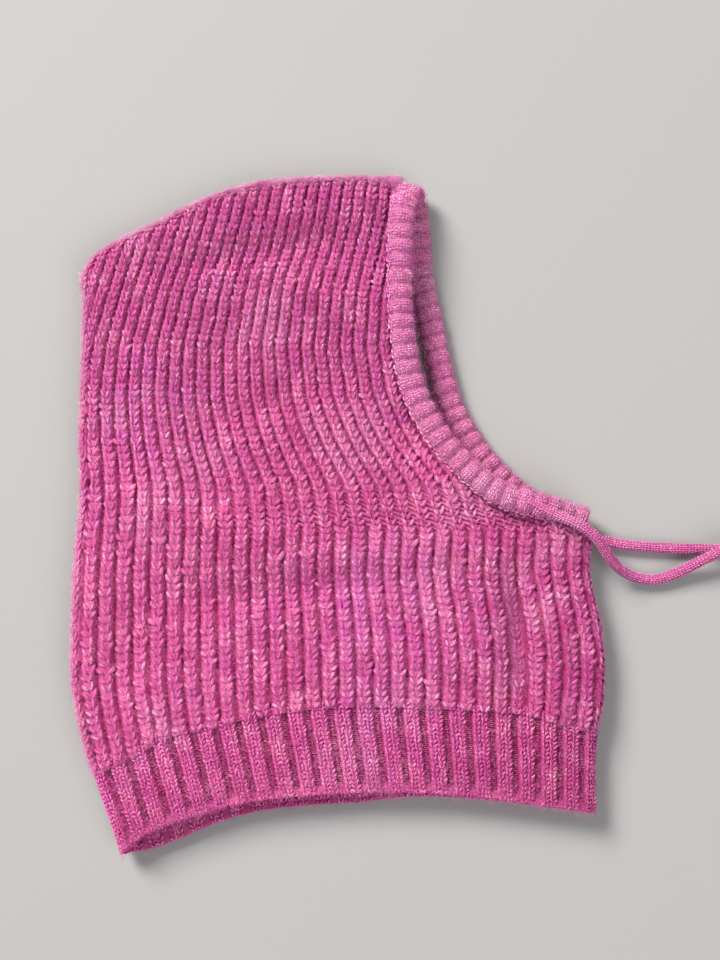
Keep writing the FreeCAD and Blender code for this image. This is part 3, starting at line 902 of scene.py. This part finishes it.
def carried_frames(line, start):
    """A line's directions, and a side direction carried along it without twisting."""
    tangent = unit(np.gradient(line, axis=0))
    side = np.empty_like(tangent)
    carried = np.array(start, float)
    for index, ahead in enumerate(tangent):
        carried = carried - ahead * (carried @ ahead)
        carried /= np.linalg.norm(carried)
        side[index] = carried
    return tangent, side, np.cross(tangent, side)


# The casing's line is read at this step; its ribs lie about this far apart, with these stitches.
CASING_STEP = 0.5
CASING_RIB = 8.2
CASING_WALES = 5
CASING_ROWS = 23
# The length along the casing in which it turns over the crown.
CROWN_TURN = 13


def casing_line():
    """The casing's middle line with its half width and half thickness."""
    table = [
        (x * HALF_WIDTH, y * HALF_HEIGHT, z, half, thick)
        for x, y, z, half, thick in CASING_RIGHT + CASING_LEFT
    ]
    return smooth_line(table, CASING_STEP)


class Casing:
    """The casing's form: an oval tube along its middle line, drawn in between its ribs."""

    def __init__(self):
        line = casing_line()
        self.last = len(line) - 1
        self.middle, self.half, self.thick = line[:, :3], line[:, 3:4], line[:, 4:]
        tangent = unit(np.gradient(self.middle, axis=0))
        run = np.arange(len(line)) * CASING_STEP
        self.length = run[-1]
        self.crown = run[np.argmax(self.middle[:, 1])]
        share = np.clip((run - self.crown) / CROWN_TURN + 0.5, 0, 1)
        angle = math.pi * share * share * (3 - 2 * share)
        normal = np.column_stack([np.zeros(len(line)), np.sin(angle), np.cos(angle)])
        self.normal = unit(normal - tangent * (normal * tangent).sum(axis=1, keepdims=True))
        self.outward = np.cross(tangent, self.normal)
        self.ribs = round(self.length / CASING_RIB)
        self.pitch = self.length / self.ribs

    def place(self, at, turn):
        """A distance along the casing and a turn round it, as a place in millimetres."""
        index = np.clip(at / CASING_STEP, 0, self.last)
        low = np.minimum(index.astype(int), self.last - 1)
        share = (index - low)[:, None]
        middle, outward, normal, half, thick = (
            values[low] * (1 - share) + values[low + 1] * share
            for values in (self.middle, self.outward, self.normal, self.half, self.thick)
        )
        furrow = 1 - 0.42 * off_rib(at / self.pitch) ** 2
        reach = np.cos(turn) * (1 + (furrow - 1) * 0.4)
        rise = np.sin(turn) * furrow
        return middle + outward * (reach[:, None] * half) + normal * (rise[:, None] * thick)

    def core(self, at):
        """The middle line's point at a distance along the casing."""
        return self.middle[np.clip((np.asarray(at) / CASING_STEP).astype(int), 0, self.last)]

    def cloth(self, at):
        """The plain tube that lies under the stitches."""
        turns = np.linspace(0, 2 * math.pi, 40, endpoint=False)
        grid_at, grid_turn = grid(at, turns, "ij")
        rings = self.place(grid_at, grid_turn)
        return rings + unit(self.core(grid_at) - rings) * 0.85

    def knit(self, first, last, looseness):
        """The stitches between two distances along the casing, in rows that run round it."""
        wales = (np.arange(self.ribs * CASING_WALES) + 0.5) * self.pitch / CASING_WALES
        wales = wales[(wales >= first) & (wales < last)]
        at, turn = grid(wales, (np.arange(CASING_ROWS) + 0.5) / CASING_ROWS * 2 * math.pi)
        turn = turn + 0.06 * np.sin(at * 3.7)
        step_at, step_turn = 0.4, 0.03
        centre = self.place(at, turn)
        along = self.place(at, turn - step_turn) - self.place(at, turn + step_turn)
        across = self.place(at - step_at, turn) - self.place(at + step_at, turn)
        growth = np.linalg.norm(along, axis=1) / (2 * step_turn)
        spread = np.linalg.norm(across, axis=1) / (2 * step_at)
        across, along = unit(across), unit(along)
        out = np.cross(across, along)
        width = self.pitch / CASING_WALES * 1.05 * spread
        height = np.minimum(growth * 2 * math.pi / CASING_ROWS, 2.4) * 1.05
        # Stitches in the furrows between the casing's ribs are painted further into shade.
        return stitches(centre - out * 0.45, across, along, out, width, height, 0.36, TINY_LEG,
                        1.7 * looseness, 0.9 * off_rib(at / self.pitch) ** 3)

    def fuzz(self, first, last, count):
        """Loose fibres between two distances along the casing."""
        at = RNG.uniform(first, last, count)
        turn = RNG.uniform(0, 2 * math.pi, count)
        root = self.place(at, turn)
        out = unit(root - self.core(at))
        along = unit(self.place(at, turn - 0.03) - root)
        return fibres(root, np.cross(along, out), along, out, CASING_FIBRE)

    def chain(self, first, last, side):
        """A chain of small stitches along the casing's edge on the hood's side."""
        at = np.arange(first + 1.2, last - 1.2, 2.7)
        turn = np.full(len(at), math.pi * (1 + 0.07 * side))
        centre = self.place(at, turn)
        along = unit(self.place(at + 1, turn) - self.place(at - 1, turn))
        out = unit(self.place(at, turn - 0.5) - self.place(at, turn + 0.5))
        outwards = (centre - self.place(at, turn * 0)) * 0.05
        out = unit(np.cross(along, np.cross(out, along)) + outwards)
        return stitches(centre, np.cross(along, out), along, out, 3.2, 2.9, 0.7, SMALL_LEG, 1.0)


def make_casing(settings):
    """The casing round the face opening and the seams that join it to the hood."""
    form = Casing()
    pieces = []
    nodes = {"right": ("casing_right", "casing_crown_turn"), "left": ("casing_left",)}
    spans = {"right": (0.0, form.crown), "left": (form.crown, form.length)}
    for side, word in SIDES:
        first, last = spans[word]
        at = np.arange(first, last + 0.4, 0.8)
        rings = form.cloth(at).reshape(len(at), -1, 3)
        # The tube under the stitches is painted deep in shade.
        cloth = tube(rings, form.core([first, last]), -1.0)
        knit = form.knit(first, last, settings.looseness)
        fuzz = form.fuzz(first, last, settings.fuzz // 5)
        chain = form.chain(at[0], at[-1], side)
        add_piece(pieces, f"casing_fuzz_{word}", [fuzz], "fuzz", side)
        add_piece(pieces, f"casing_fabric_{word}", [cloth], "casing", side, nodes[word])
        add_piece(pieces, f"casing_knit_{word}", [knit], "casing", side)
        add_piece(pieces, f"casing_seam_{word}_stitches", [chain], "casing", side,
                  [f"casing_seam_{word}"])
    return pieces


def make_crown_seam(settings):
    """The chain of grafted stitches along the crown, where the hood's two sides meet."""
    flat = EDGES[0][0] + EDGES[0][1] * CURL
    line = flat[(flat[:, 1] > 0.70 * HALF_HEIGHT) & (flat[:, 0] < 0.21 * HALF_WIDTH)]
    line = even(line, 3.3)
    centre = np.column_stack([line, np.full(len(line), MIDDLE_Z)])
    along = unit(np.gradient(centre, axis=0))
    out = np.column_stack([-along[:, 1], along[:, 0], np.zeros(len(line))])
    across = np.cross(along, out)
    chain = stitches(centre, across, along, out, 4.6, 3.5, 0.75, FULL_LEG, settings.looseness)
    pieces = []
    add_piece(pieces, "crown_seam_stitches", [chain], "body", nodes=[
        "crown_seam", "hood_back_fold", "hood_front_fold", "neck_band_back_fold",
        "neck_band_front_fold",
    ])
    return pieces


# ---------------------------------------------------------------- the drawcord


# The hidden cord's and the knots' sizes in millimetres, and the resting cord's height in metres.
HIDDEN_CORD = 4.6
KNOT_CORD = 4.4
KNOT_ROW = 1.7
KNOT_SIZE = 1.45
CORD_REST = 0.00275
# How far apart the coil's turns lie.
COIL_PITCH = 11.6


def coil_turns(start_radius, from_angle, sweep, bend=0.0):
    """The coil's turns as points in metres: twelve and more to a turn, closing in as they go."""
    points = []
    steps = math.ceil(sweep / 20)
    for step in range(1, steps + 1):
        turned = sweep * step / steps
        angle = math.radians(from_angle + turned)
        radius = start_radius - COIL_PITCH * turned / 360 - bend * max(0, step - steps + 2)
        points.append((
            COIL_CENTRE[0] + radius * MM * math.cos(angle),
            COIL_CENTRE[1] + radius * MM * math.sin(angle), CORD_REST,
        ))
    return points


def cord_route(name, points):
    """A cord's own line: points along a smooth spline through its route, in millimetres."""
    curve = bpy.data.curves.new(name, "CURVE")
    curve.dimensions = "3D"
    curve.resolution_u = 16
    spline = curve.splines.new("NURBS")
    spline.points.add(len(points) - 1)
    for point, place in zip(spline.points, points):
        point.co = (*place, 1.0)
    spline.order_u = 3
    spline.use_endpoint_u = True
    holder = bpy.data.objects.new(name, curve)
    bpy.context.scene.collection.objects.link(holder)
    read = bpy.data.meshes.new_from_object(holder)
    places = np.array([vertex.co[:] for vertex in read.vertices], float) / MM
    bpy.data.meshes.remove(read)
    bpy.data.objects.remove(holder)
    bpy.data.curves.remove(curve)
    return places


def plain_cord(line, diameter, step=1.7):
    """A plain closed tube along a line."""
    line = even(line, step)
    _, side, other = carried_frames(line, (0, 0, 1))
    sides = 12
    turns = np.arange(sides) * 2 * math.pi / sides
    rings = line[:, None] + (side[:, None] * np.cos(turns)[None, :, None]
                             + other[:, None] * np.sin(turns)[None, :, None]) * diameter / 2
    # The plain tube is painted part way into shade.
    return tube(rings, np.vstack([line[:1], line[-1:]]), -0.6)


def knitted_cord(line, diameter, row, wales=7):
    """A knitted cord along a line: its core, and its stitches all round."""
    line = even(line, row)
    tangent, side, other = carried_frames(line, (0, 0, 1))
    index, wale = grid(np.arange(1, len(line) - 1), np.arange(wales), "ij")
    angle = (wale + 0.35 * np.sin(index * 0.045)) * 2 * math.pi / wales
    out = side[index] * np.cos(angle)[:, None] + other[index] * np.sin(angle)[:, None]
    along = tangent[index]
    centre = line[index] + out * (diameter / 2 - 0.12)
    knit = stitches(centre, np.cross(along, out), along, out, diameter * math.pi / wales * 0.98,
                    row * 1.05, 0.24, TINY_LEG, 0.8)
    return [plain_cord(line, diameter - 0.35, row), knit]


def overhand(centre, size, turn):
    """An overhand knot's line round a point."""
    t = np.linspace(0.25, 2 * math.pi - 0.15, 90)
    x = np.sin(t) + 2 * np.sin(2 * t)
    y = np.cos(t) - 2 * np.cos(2 * t)
    z = -np.sin(3 * t)
    cos, sin = math.cos(turn), math.sin(turn)
    line = np.column_stack([x * cos - y * sin, x * sin + y * cos, z * 0.95]) * size
    return line + centre


def make_drawcord(settings):
    """The drawcord's two tails, coiled together, and the knot at the end of each."""
    diameter = settings.cord_diameter
    pieces, cords = [], []
    routes = {
        "right": RIGHT_TAIL + coil_turns(30, -90, 250, 1.6)[1:],
        "left": LEFT_TAIL + coil_turns(35.8, -90, 320)[1:],
    }
    for word, points in routes.items():
        line = cord_route(f"drawcord_{word}_line", points)
        cord = knitted_cord(line, diameter / MM, settings.cord_row / MM)
        nodes = [f"drawcord_tail_{word}"] + (["drawcord_coil"] if word == "right" else [])
        tail = add_piece(pieces, f"drawcord_{word}", cord, "cord", nodes=nodes)
        middle = sum(box_mm(f"knot_{word}")) / 2
        knot_line = overhand(middle, KNOT_SIZE, 0.6 if word == "right" else 2.1)
        knot_yarn = knitted_cord(knot_line, KNOT_CORD, KNOT_ROW)
        knot = add_piece(pieces, f"knot_{word}_tied", knot_yarn, "cord", nodes=[f"knot_{word}"])
        length = float(np.linalg.norm(np.diff(line, axis=0), axis=1).sum() * MM)
        cords.append((tail, EXITS[word], length, diameter, knot, line * MM))
    return pieces, cords


# ---------------------------------------------------------------- materials


class Socket:
    """A shader value that adds nodes to its tree as it is worked with."""

    def __init__(self, tree, socket):
        self.tree = tree
        self.socket = socket

    def node(self, kind, *inputs, out=0, **settings):
        """Any node: its inputs by place or name, its output by place or name."""
        made = self.tree.nodes.new(kind)
        named = settings.pop("named", {})
        for label, value in settings.items():
            setattr(made, label, value)
        for label, value in [*enumerate(inputs), *named.items()]:
            if isinstance(value, Socket):
                self.tree.links.new(value.socket, made.inputs[label])
            else:
                made.inputs[label].default_value = value
        return Socket(self.tree, made.outputs[out])

    def __add__(self, other):
        return self.node("ShaderNodeMath", self, other, operation="ADD")

    def __mul__(self, other):
        return self.node("ShaderNodeMath", self, other, operation="MULTIPLY")

    __radd__ = __add__
    __rmul__ = __mul__

    def parts(self):
        """The three parts of a vector."""
        split = self.node("ShaderNodeSeparateXYZ", self).socket.node
        return [Socket(self.tree, output) for output in split.outputs]

    def ramp(self, low, high):
        """0 below low, 1 above high, and smooth between them."""
        return self.node("ShaderNodeMapRange", self, low, high, 0.0, 1.0,
                         interpolation_type="SMOOTHSTEP")

    def noise(self, scale, detail=2.0, roughness=0.5):
        """Noise at this place."""
        return self.node("ShaderNodeTexNoise", out="Fac",
                         named={"Vector": self, "Scale": scale, "Detail": detail,
                                "Roughness": roughness})

    def stretched(self, scale):
        """This place with its axes scaled apart."""
        return self.node("ShaderNodeVectorMath", self, scale, operation="MULTIPLY")

    def towards(self, other, share):
        """This colour mixed towards another."""
        return self.node("ShaderNodeMix", out=2, data_type="RGBA", clamp_factor=True,
                         named={0: share, 6: self, 7: other})


def colour(red, green, blue):
    """An sRGB colour of 0 to 255 as the shader's own linear values."""
    def linear(value):
        value /= 255
        return value / 12.92 if value <= 0.04045 else ((value + 0.055) / 1.055) ** 2.4
    return (linear(red), linear(green), linear(blue), 1.0)


YARNS = {
    "body": {"base": (205, 92, 153), "light": (238, 178, 216), "dark": (164, 40, 104)},
    "band": {"base": (220, 94, 168), "light": (252, 176, 222), "dark": (172, 42, 108)},
    # The casing's wool is painted paler than the body's: painted light over the shade on its lower,
    # inner side.
    "casing": {"base": (255, 160, 214), "light": (255, 208, 238), "dark": (232, 116, 176)},
    "cord": {"base": (242, 140, 196), "light": (255, 196, 234), "dark": (214, 98, 156)},
    # The purl bumps' wool is the body's wool darkened: painted shade in the furrows between the
    # ribs.
    "shaded_purl": {"base": (184, 56, 118), "light": (214, 100, 158), "dark": (140, 20, 78)},
    # The fuzz's wool is painted paler than the body's: a painted highlight on the loose fibres.
    "fuzz": {"base": (226, 110, 170), "light": (255, 196, 230), "dark": (188, 62, 128)},
}
# The shade between stitches, the crown's shade, and the two tints that drift through the yarn.
DEEP = (128, 10, 64)
SHADED = (176, 62, 140)
VIOLET = (196, 96, 190)
CORAL = (240, 92, 132)


def yarn_material(name):
    """Heathered brushed wool: flecks of lighter and darker fibre, a soft fibre sheen, and painted
    shade.
    """
    material = bpy.data.materials.new(f"{name}_wool")
    material.use_nodes = True
    tree = material.node_tree
    shader = tree.nodes["Principled BSDF"]
    start = Socket(tree, None)
    place = start.node("ShaderNodeTexCoord", out="Object")
    tone = start.node("ShaderNodeAttribute", out="Vector", attribute_name="tone")
    yarn = start.node("ShaderNodeAttribute", out="Vector", attribute_name="yarn")
    # The tone's third part is the painted shade's depth: low values are painted towards DEEP.
    stitch, hue, height = tone.parts()
    across, up, _ = place.parts()
    light, dark = (colour(*YARNS[name][key]) for key in ("light", "dark"))
    # A casing and a cord stand free, so less shade gathers on them.
    front_shade = 0.1 if name in ("casing", "cord") else 0.45
    deep_shade = 0.52 if name == "casing" else 0.72
    streak = yarn.stretched((0.55, 2.6, 2.6)).noise(1.0, 3.0, 0.7)
    fleck = place.noise(1500.0, 2.0, 0.6)
    blotch = place.noise(85.0, 3.0, 0.65)
    drift = place.noise(9.0, 2.0, 0.5)
    patch = place.noise(26.0, 2.0, 0.55)
    shade = streak * 0.7 + fleck * 0.75 + blotch * 0.55 + stitch * 0.04
    violet = drift * 0.6 + place.noise(60.0, 2.0, 0.6) * 0.4 + hue * 0.08
    wool = start.node("ShaderNodeRGB")
    wool.socket.default_value = colour(*YARNS[name]["base"])
    wool = wool.towards(colour(*VIOLET), violet.ramp(0.48, 0.7) * 0.5)
    wool = wool.towards(colour(*CORAL), (blotch + hue * 0.07).ramp(0.52, 0.74) * 0.5)
    wool = wool.towards(dark, (across + drift * 0.08).ramp(0.07, 0.16) * front_shade)
    if name != "casing":
        wool = wool.towards(colour(*SHADED), (up + drift * 0.12).ramp(0.09, 0.2) * 0.35)
    wool = wool.towards(light, patch.ramp(0.5, 0.74) * 0.26)
    wool = wool.towards(dark, patch.ramp(0.5, 0.28) * 0.22)
    wool = wool.towards(light, shade.ramp(1.02, 1.28) * 0.9)
    wool = wool.towards(dark, shade.ramp(1.0, 0.76) * 0.7)
    # Painted shade between the stitches and in the furrows.
    wool = wool.towards(colour(*DEEP), height.ramp(0.7, -0.7) * deep_shade)
    tree.links.new(wool.socket, shader.inputs["Base Color"])
    strands = yarn.stretched((0.9, 6.0, 6.0)).noise(1.0, 3.0, 0.75)
    bump = start.node("ShaderNodeBump",
                      named={"Strength": 0.4, "Distance": 0.0005, "Height": strands})
    tree.links.new(bump.socket, shader.inputs["Normal"])
    constants = {"Roughness": 0.88, "Specular IOR Level": 0.15, "Sheen Weight": 0.3,
                 "Sheen Roughness": 0.3, "Sheen Tint": colour(255, 214, 236)}
    for label, value in constants.items():
        shader.inputs[label].default_value = value
    return material


def dress(pieces, body):
    """Give pieces their wool and the body they ride on."""
    for piece, wool in pieces:
        name = f"{wool}_wool"
        material = bpy.data.materials.get(name) or yarn_material(wool)
        piece.data.materials.clear()
        piece.data.materials.append(material)
        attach(piece, body)


# ---------------------------------------------------------------- settings


LENGTH = {"subtype": "DISTANCE", "unit": "LENGTH"}


class BALACLAVA_PG_knit(bpy.types.PropertyGroup):
    """How the hood is knitted."""

    row_height: bpy.props.FloatProperty(
        name="Row height", description="Height of one row of the hood's stitches",
        default=0.0036, min=0.002, max=0.006, **LENGTH,
    )
    stitch_share: bpy.props.FloatProperty(
        name="Stitch width", description="Share of a rib's pitch that its knit stitch fills",
        default=0.75, min=0.5, max=1.2, subtype="FACTOR",
    )
    band_row: bpy.props.FloatProperty(
        name="Band row height", description="Height of one row of the neck band's stitches",
        default=0.0023, min=0.0015, max=0.004, **LENGTH,
    )
    fuzz: bpy.props.IntProperty(
        name="Fuzz", description="Loose fibres on the side that lies uppermost",
        default=24000, min=0, max=33000,
    )
    looseness: bpy.props.FloatProperty(
        name="Looseness", description="How unevenly the stitches lie",
        default=1.8, min=0.0, max=3.0,
    )


class BALACLAVA_PG_cord(bpy.types.PropertyGroup):
    """The drawcord's sizes."""

    cord_diameter: bpy.props.FloatProperty(
        name="Diameter", description="Thickness of the knitted drawcord",
        default=0.0055, min=0.003, max=0.009, **LENGTH,
    )
    cord_row: bpy.props.FloatProperty(
        name="Row height", description="Height of one round of the drawcord's stitches",
        default=0.0017, min=0.001, max=0.004, **LENGTH,
    )


class BALACLAVA_PG_stage(bpy.types.PropertyGroup):
    """The camera and the light."""

    distance: bpy.props.FloatProperty(
        name="Distance", description="From the camera to the middle of the hood",
        default=0.708, min=0.3, max=2.0, **LENGTH,
    )
    elevation: bpy.props.FloatProperty(
        name="Elevation", description="The camera's angle above the floor",
        default=math.radians(86), min=0.2, max=math.pi / 2, subtype="ANGLE", unit="ROTATION",
    )
    lens: bpy.props.FloatProperty(
        name="Lens", description="The camera's focal length in millimetres",
        default=49.4, min=20, max=120,
    )


# ---------------------------------------------------------------- operators


# Where the camera looks, near the hood's middle.
AIM = Vector((0.0119, 0.0166, 0.008))
FLOOR_SIZE = 30
FLOOR_GREY = (156, 155, 153)


def lamp(name, place, aim, size, power, tint):
    """A square area lamp, aimed at a point."""
    bpy.ops.object.light_add(type="AREA", location=place)
    light = bpy.context.object
    light.name = name
    light.data.size = size
    light.data.energy = power
    light.data.color = tint
    light.rotation_euler = (Vector(aim) - Vector(place)).to_track_quat("-Z", "Y").to_euler()
    return light


class BALACLAVA_OT_stage(bpy.types.Operator):
    """Make the camera, the floor and the soft window light"""

    bl_idname = "balaclava.stage"
    bl_label = "Stage"

    def execute(self, context):
        settings = context.scene.balaclava_stage
        up = settings.elevation
        offset = Vector((0, -math.cos(up), math.sin(up))) * settings.distance
        bpy.ops.object.camera_add(location=AIM + offset)
        camera = context.object
        camera.name = "camera"
        camera.data.lens = settings.lens
        camera.data.sensor_width = 36
        camera.rotation_euler = (-offset).to_track_quat("-Z", "Y").to_euler()
        context.scene.camera = camera
        bpy.ops.mesh.primitive_plane_add(size=FLOOR_SIZE, location=(0, 0, 0))
        floor = context.object
        floor.name = "floor"
        material = bpy.data.materials.new("pale_floor")
        material.use_nodes = True
        shader = material.node_tree.nodes["Principled BSDF"]
        shader.inputs["Base Color"].default_value = colour(*FLOOR_GREY)
        shader.inputs["Roughness"].default_value = 0.7
        shader.inputs["Specular IOR Level"].default_value = 0.2
        floor.data.materials.append(material)
        window = lamp("window", (-2.5, 2.8, 2.7), (0, 0, 0), 1.7, 430.0, (1.0, 0.985, 0.96))
        fill = lamp("fill", (1.8, -2.0, 2.6), (0, 0, 0), 3.0, 84.0, (1.0, 0.95, 1.0))
        world = bpy.data.worlds.new("soft_room")
        world.use_nodes = True
        background = world.node_tree.nodes["Background"].inputs
        background["Color"].default_value = (0.93, 0.95, 1.0, 1)
        background["Strength"].default_value = 0.36
        context.scene.world = world
        context.scene.view_settings.view_transform = "Standard"
        return {"FINISHED"}


class BALACLAVA_OT_drawcord(bpy.types.Operator):
    """Knit the drawcord's two tails with the knot at the end of each"""

    bl_idname = "balaclava.drawcord"
    bl_label = "Drawcord"

    def execute(self, context):
        pieces, cords = make_drawcord(context.scene.balaclava_cord)
        dress(pieces, "drawcord")
        line = casing_line()[:, :3]
        ends = [np.linalg.norm(line - np.array(route[0]) / MM, axis=1).argmin()
                for route in (RIGHT_TAIL, LEFT_TAIL)]
        inner = []
        add_piece(inner, "drawcord_hidden", [plain_cord(line[ends[0]:ends[1]], HIDDEN_CORD)],
                  "cord", nodes=["drawcord_in_casing"])
        dress(inner, "hood")
        return {"FINISHED"}


class BALACLAVA_OT_body(bpy.types.Operator):
    """Knit the hood's two sides and the seam along the crown"""

    bl_idname = "balaclava.body"
    bl_label = "Hood"

    def execute(self, context):
        settings = context.scene.balaclava_knit
        dress(make_body(settings) + make_crown_seam(settings), "hood")
        return {"FINISHED"}


class BALACLAVA_OT_band(bpy.types.Operator):
    """Knit the two-by-two ribbed neck band"""

    bl_idname = "balaclava.band"
    bl_label = "Neck band"

    def execute(self, context):
        dress(make_band(context.scene.balaclava_knit), "hood")
        return {"FINISHED"}


class BALACLAVA_OT_casing(bpy.types.Operator):
    """Knit the casing round the face opening and the seams that join it on"""

    bl_idname = "balaclava.casing"
    bl_label = "Casing"

    def execute(self, context):
        dress(make_casing(context.scene.balaclava_knit), "hood")
        return {"FINISHED"}


OPERATORS = (
    BALACLAVA_OT_stage, BALACLAVA_OT_drawcord, BALACLAVA_OT_body, BALACLAVA_OT_band,
    BALACLAVA_OT_casing,
)


class BALACLAVA_PT_build(bpy.types.Panel):
    """Lists the pieces to build."""

    bl_idname = "BALACLAVA_PT_build"
    bl_label = "Knitted balaclava"
    bl_space_type = "VIEW_3D"
    bl_region_type = "UI"
    bl_category = "Balaclava"

    def draw(self, context):
        for group_name in GROUPS:
            group = getattr(context.scene, group_name)
            for name in group.__annotations__:
                self.layout.prop(group, name)
        for operator in OPERATORS:
            self.layout.operator(operator.bl_idname)


GROUPS = {
    "balaclava_knit": BALACLAVA_PG_knit, "balaclava_cord": BALACLAVA_PG_cord,
    "balaclava_stage": BALACLAVA_PG_stage,
}
CLASSES = (*GROUPS.values(), *OPERATORS, BALACLAVA_PT_build)


def register():
    """Add the settings, the operators and the panel."""
    for each in CLASSES:
        bpy.utils.register_class(each)
    for name, group in GROUPS.items():
        setattr(bpy.types.Scene, name, bpy.props.PointerProperty(type=group))


def unregister():
    """Take them away again."""
    for name in reversed(GROUPS):
        delattr(bpy.types.Scene, name)
    for each in reversed(CLASSES):
        bpy.utils.unregister_class(each)


def main():
    """Build every piece in order."""
    register()
    bpy.ops.balaclava.stage()
    bpy.ops.balaclava.drawcord()
    bpy.ops.balaclava.body()
    bpy.ops.balaclava.band()
    bpy.ops.balaclava.casing()


if __name__ == "__main__":
    main()
